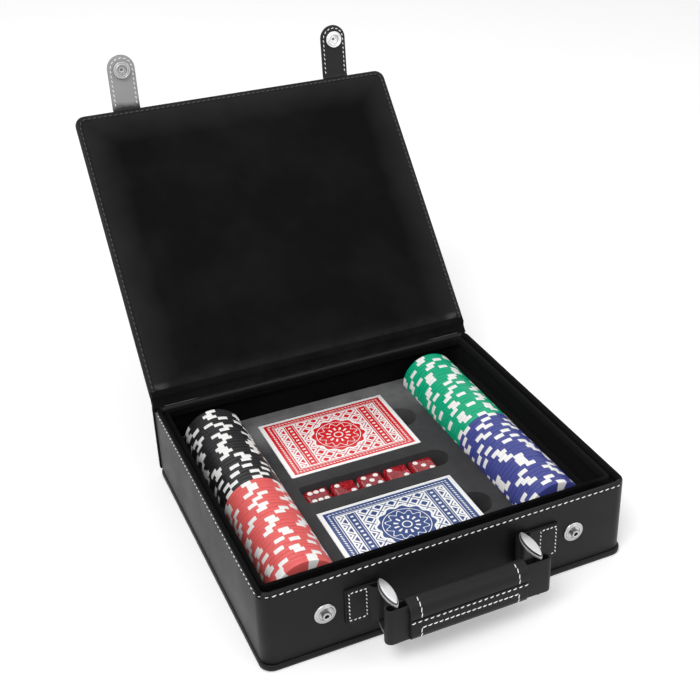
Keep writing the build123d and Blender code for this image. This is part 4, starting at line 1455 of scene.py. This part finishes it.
# The legs follow the grip's round section, so their guide lies in the section's plane
upper_leg = grip_outline(0.0, 9, 19) + [(-half_y, FLAP_EDGE + 0.4 * MM)]
lower_leg = [(-half_y + 0.24 * MM, LOW_ROW * MM)] + grip_outline(0.2 * MM, 20, 27)
for sign in (-1, 1):
    at = Matrix.Translation((sign * LEG_X * MM, 0, 0)) @ along_x
    for section in (upper_leg, lower_leg):
        rows.append(sew("row", section[::-1], place=at, on_wall=True, pitch=3.2 * MM, gap=0.4 * MM))
grip_seam = join(rows, "grip_seam")
dress(grip_seam, white_thread, "case_leather", "handle")

# %% [markdown]
# A poker chip has six white spots moulded through its edge, a fine chamfer and a sunk inlay on
# each face. One chip is modelled, and its faces are given three finishes by their place: the body, the
# spots and the inlay. The chips of all four colours are copies of it.

# %% Model one chip
chip_low, chip_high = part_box("chips_black")
CHIP_RADIUS = (chip_high.x - chip_low.x) / 2
CHIP_THICK = 3.33 * MM
CHIPS = 25
SIDES = 60
INLAY_RADIUS = 12.8 * MM

bpy.ops.mesh.primitive_cylinder_add(
    vertices=SIDES, radius=CHIP_RADIUS, depth=CHIP_THICK, rotation=(math.pi / 2, 0, 0)
)
one_chip = named("one_chip")
pick(one_chip, "FACE", lambda middle, normal: abs(normal.y) > 0.9)
bpy.ops.mesh.bevel(offset=0.35 * MM, segments=2, affect="EDGES")
for inlay_step, sink in ((0.25 * MM, 0.0), (0.0, -0.12 * MM), (-3 * MM, 0.0)):
    pick(one_chip, "FACE", lambda middle, normal: abs(normal.y) > 0.9 and middle.xz.length < 2 * MM)
    ring_radius = INLAY_RADIUS + inlay_step
    face_radius = max(
        one_chip.data.vertices[i].co.xz.length for face in one_chip.data.polygons
        if face.center.xz.length < 2 * MM for i in face.vertices
    )
    bpy.ops.mesh.inset(thickness=face_radius - ring_radius, depth=sink, use_individual=True)
    choose(one_chip)
give(one_chip, chip_plastics["black"], spot_plastic, inlay_plastic)
spots = 0
for face in one_chip.data.polygons:
    out = face.center.xz.length
    segment = math.floor((math.atan2(face.center.z, face.center.x) / math.tau) * SIDES) % 10
    if out > INLAY_RADIUS + 0.3 * MM and segment < 3:
        face.material_index = 1
        spots += 1
    elif out < INLAY_RADIUS:
        face.material_index = 2
smooth(one_chip, 25)
print("chip faces:", len(one_chip.data.polygons), "of them white:", spots)

# %% [markdown]
# Chips never lie quite true in a rack. Each copy is nudged by a fraction of a millimetre and turned
# by a random angle. The seed is fixed, so every run of this file gives the same rows.

# %% Fill the two troughs
random.seed(11)
for colour, plastic in chip_plastics.items():
    low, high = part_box("chips_" + colour)
    middle = (low + high) / 2
    pitch = (high.y - low.y - CHIP_THICK) / (CHIPS - 1)
    chips = []
    for k in range(CHIPS):
        chip = copy_of(one_chip, "chip")
        chip.data.materials[0] = plastic
        reaches = ((-0.16, 0.16), (-0.012, 0.012), (-0.08, 0.12))
        nudge = Vector([random.uniform(*reach) for reach in reaches]) * MM
        place = Vector((middle.x, low.y + CHIP_THICK / 2 + k * pitch, middle.z)) + nudge
        spin = Matrix.Rotation(random.uniform(0, math.tau), 4, "Y")
        put(chip, Matrix.Translation(place) @ spin)
        chips.append(chip)
    row = join(chips, "chip_row_" + colour)
    dress(row, plastic, "chip_" + colour, f"{colour}_stack", "chips_" + colour)
bpy.data.objects.remove(one_chip)

# %% [markdown]
# Card boxes are folded from printed card, so their edges are crisp but never quite sharp. At one
# end a tuck flap closes the box, and a fine slit runs round it. It is inset, sunk and raised again.

# %% Two card boxes
for colour, print_material in card_prints.items():
    low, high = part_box("card_box_" + colour)
    bpy.ops.mesh.primitive_cube_add(size=1, location=(low + high) / 2)
    box = named("printed_box_" + colour, high - low)
    pick(box, "FACE", lambda place, normal: normal.x > 0.9)
    for inward, depth in ((0.45, 0.0), (0.08, -0.5), (0.12, 0.0), (0.06, 0.45)):
        bpy.ops.mesh.inset(thickness=inward * MM, depth=depth * MM)
    soften(box, 0.28 * MM, 2, 60)
    smooth(box)
    dress(box, print_material, "card_" + colour, f"{colour}_deck", "card_box_" + colour)

# %% [markdown]
# A die is a cube with rounded edges and drilled, painted pips. The pips are cut with one Boolean
# from a set of small cutters, and the faces left in the holes get the white paint. It is modelled
# once, and each copy is turned to show its number.

# %% Model one die
die_low, die_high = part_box("die_1")
DIE = die_high.x - die_low.x
PIP_RADIUS = 1.75 * MM
PIP_DEPTH = 0.4 * MM
PIP_STEP = 4.1 * MM
pip_grids = {
    1: [(0, 0)],
    2: [(-1, -1), (1, 1)],
    3: [(-1, -1), (0, 0), (1, 1)],
    4: [(-1, -1), (-1, 1), (1, -1), (1, 1)],
    5: [(-1, -1), (-1, 1), (0, 0), (1, -1), (1, 1)],
    6: [(-1, -1), (0, -1), (1, -1), (-1, 1), (0, 1), (1, 1)],
}
face_axes = {
    1: ((1, 0, 0), (0, 0, 1)), 6: ((1, 0, 0), (0, 0, -1)), 2: ((1, 0, 0), (0, -1, 0)),
    5: ((1, 0, 0), (0, 1, 0)), 3: ((0, 1, 0), (1, 0, 0)), 4: ((0, 1, 0), (-1, 0, 0)),
}
bpy.ops.mesh.primitive_cube_add(size=DIE)
one_die = named("one_die")
soften(one_die, 2.1 * MM, 5, 60)
cutters = []
for number, (face_x, face_out) in face_axes.items():
    right, out = Vector(face_x), Vector(face_out)
    up = out.cross(right)
    turn = Matrix((right, up, out)).transposed().to_4x4()
    for i, j in pip_grids[number]:
        centre = out * DIE / 2 + right * PIP_STEP * i + up * PIP_STEP * j
        bpy.ops.mesh.primitive_cylinder_add(vertices=16, radius=PIP_RADIUS, depth=2 * PIP_DEPTH)
        cutters.append(bpy.context.object)
        put(cutters[-1], Matrix.Translation(centre) @ turn)
pip_cutter = join(cutters, "pip_cutter")
modify(one_die, "BOOLEAN", object=pip_cutter, operation="DIFFERENCE", solver="EXACT")
bpy.data.objects.remove(pip_cutter)
one_die.data.materials.clear()
give(one_die, clear_red, pip_white)
for face in one_die.data.polygons:
    between, furthest = sorted(abs(value) for value in face.center)[1:]
    in_hole = DIE / 2 - 1.05 * PIP_DEPTH < furthest < DIE / 2 - 0.3 * PIP_DEPTH
    if in_hole and between < 1.6 * PIP_STEP:
        face.material_index = 1
smooth(one_die, 30)
print("die faces:", len(one_die.data.polygons))

# %% [markdown]
# Five copies of the die fill the slot. Each is turned first, so that the right number lies on top.

# %% Lay the five dice in their slot
die_turns = [(180, 0, 0), (-90, -90, 0), (90, 0, 0), (-90, -90, 0), (0, -90, 0)]
for k, angles in enumerate(die_turns):
    node = f"die_{k + 1}"
    low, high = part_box(node)
    die = copy_of(one_die, f"clear_die_{k + 1}")
    turn = Matrix.Identity(4)
    for angle, axis in zip(angles, "XYZ"):
        turn = turn @ Matrix.Rotation(math.radians(angle), 4, axis)
    put(die, Matrix.Translation((low + high) / 2) @ turn)
    dress(die, clear_red, "die_red", f"loose_die_{k + 1}", node)
bpy.data.objects.remove(one_die)
bpy.data.objects.remove(one_stitch)

# %% [markdown]
# What stays as packed only needs its finish: the boards inside the covers, the rivets behind the
# studs, the core of the handle and the cards in their boxes.

# %% Finish the nodes that stay
boards = ["base_board", "spine_board", "lid_board"]
boards += ["wall_board_" + side for side in ("front", "back", "left", "right")]
staying = [
    (fibreboard, boards), (core_rubber, ["handle_core"]),
    (snap_nickel, ["stud_rivet_left", "stud_rivet_right"]),
    (card_stock, ["card_deck_red", "card_deck_blue"]),
]
for finish, names in staying:
    for node in names:
        frame["nodes"][node].data.materials.clear()
        give(frame["nodes"][node], finish)

# %% [markdown]
# The camera stands in front, to the left of the middle and above, as the photograph's did. Its
# place was found by fitting the case's edges, and the shift keeps the photograph's framing.

# %% Camera
CAMERA_AZIMUTH = math.radians(-24.02)
CAMERA_HEIGHT_ANGLE = math.radians(28.94)
CAMERA_ROLL = math.radians(-1.38)
CAMERA_PLACE = (-0.24439, -0.55541, 0.47289)
PICTURE = 700
FOCAL_PIXELS = 1185.12
PRINCIPAL = (379.63, 322.85)
level = Vector((math.cos(CAMERA_AZIMUTH), math.sin(CAMERA_AZIMUTH), 0))
back = Vector((
    math.sin(CAMERA_AZIMUTH) * math.cos(CAMERA_HEIGHT_ANGLE),
    -math.cos(CAMERA_AZIMUTH) * math.cos(CAMERA_HEIGHT_ANGLE),
    math.sin(CAMERA_HEIGHT_ANGLE),
))
above = back.cross(level)
right = math.cos(CAMERA_ROLL) * level + math.sin(CAMERA_ROLL) * above
upright = -math.sin(CAMERA_ROLL) * level + math.cos(CAMERA_ROLL) * above
camera_data = bpy.data.cameras.new("camera")
camera = bpy.data.objects.new("camera", camera_data)
bpy.context.scene.collection.objects.link(camera)
turn = Matrix((right, upright, back)).transposed().to_4x4()
camera.matrix_world = Matrix.Translation(CAMERA_PLACE) @ turn
camera_data.sensor_width = 36
camera_data.lens = FOCAL_PIXELS / PICTURE * camera_data.sensor_width
camera_data.shift_x = (PICTURE / 2 - PRINCIPAL[0]) / PICTURE
camera_data.shift_y = (PRINCIPAL[1] - PICTURE / 2) / PICTURE
camera_data.clip_start = 0.01
bpy.context.scene.camera = camera

# %% [markdown]
# A pale floor, an even pale sky and three large soft lamps light the case at a plain level. The
# sky is white where the camera, a reflection or a clear piece sees it, and dimmer as a light.

# %% Floor
def looked_at(owner):
    """1 for rays from the camera, a reflection or a clear piece, and 0 for the light on the case."""
    rays = add_node(owner, "ShaderNodeLightPath").outputs
    kinds = ("Is Camera Ray", "Is Glossy Ray", "Is Transmission Ray")
    return most(*[Value(owner, rays[kind]) for kind in kinds])


bpy.ops.mesh.primitive_plane_add(size=6, location=(0, 0, 0))
floor = named("floor")
floor_paint = new_material(
    "floor_paint", {"Roughness": 0.9, "Specular IOR Level": 0.1, "Emission Color": (1, 1, 1, 1)}
)
paint(floor_paint, noise(floor_paint, 3.0), grey(0.90), grey(0.92))
feed(floor_paint, "Emission Strength", looked_at(floor_paint) * 0.2)
give(floor, floor_paint)

# %% Sky and lamps
SKY_LIGHT = 0.55
world = bpy.data.worlds.new("studio")
bpy.context.scene.world = world
world.use_nodes = True
sky = world.node_tree.nodes["Background"]
lead(world, (1, 1, 1, 1), sky.inputs["Color"])
lead(world, looked_at(world).to(0.0, 1.0, SKY_LIGHT, 1.0), sky.inputs["Strength"])


def lamp(name, place, size, watts):
    """A large soft lamp that looks at the case."""
    light = bpy.data.lights.new(name, "AREA")
    light.shape = "SQUARE"
    light.size = size
    light.energy = watts
    made = bpy.data.objects.new(name, light)
    bpy.context.scene.collection.objects.link(made)
    made.location = place
    toward = Vector((0, 0.05, 0.05)) - Vector(place)
    made.rotation_euler = toward.to_track_quat("-Z", "Y").to_euler()


lamp("key_lamp", (-0.82, -0.66, 1.5), 0.9, 16)
lamp("fill_lamp", (1.1, -0.9, 1.2), 1.2, 7)
lamp("back_lamp", (-0.25, 1.4, 1.6), 1.0, 6)
bpy.context.scene.view_settings.view_transform = "Standard"
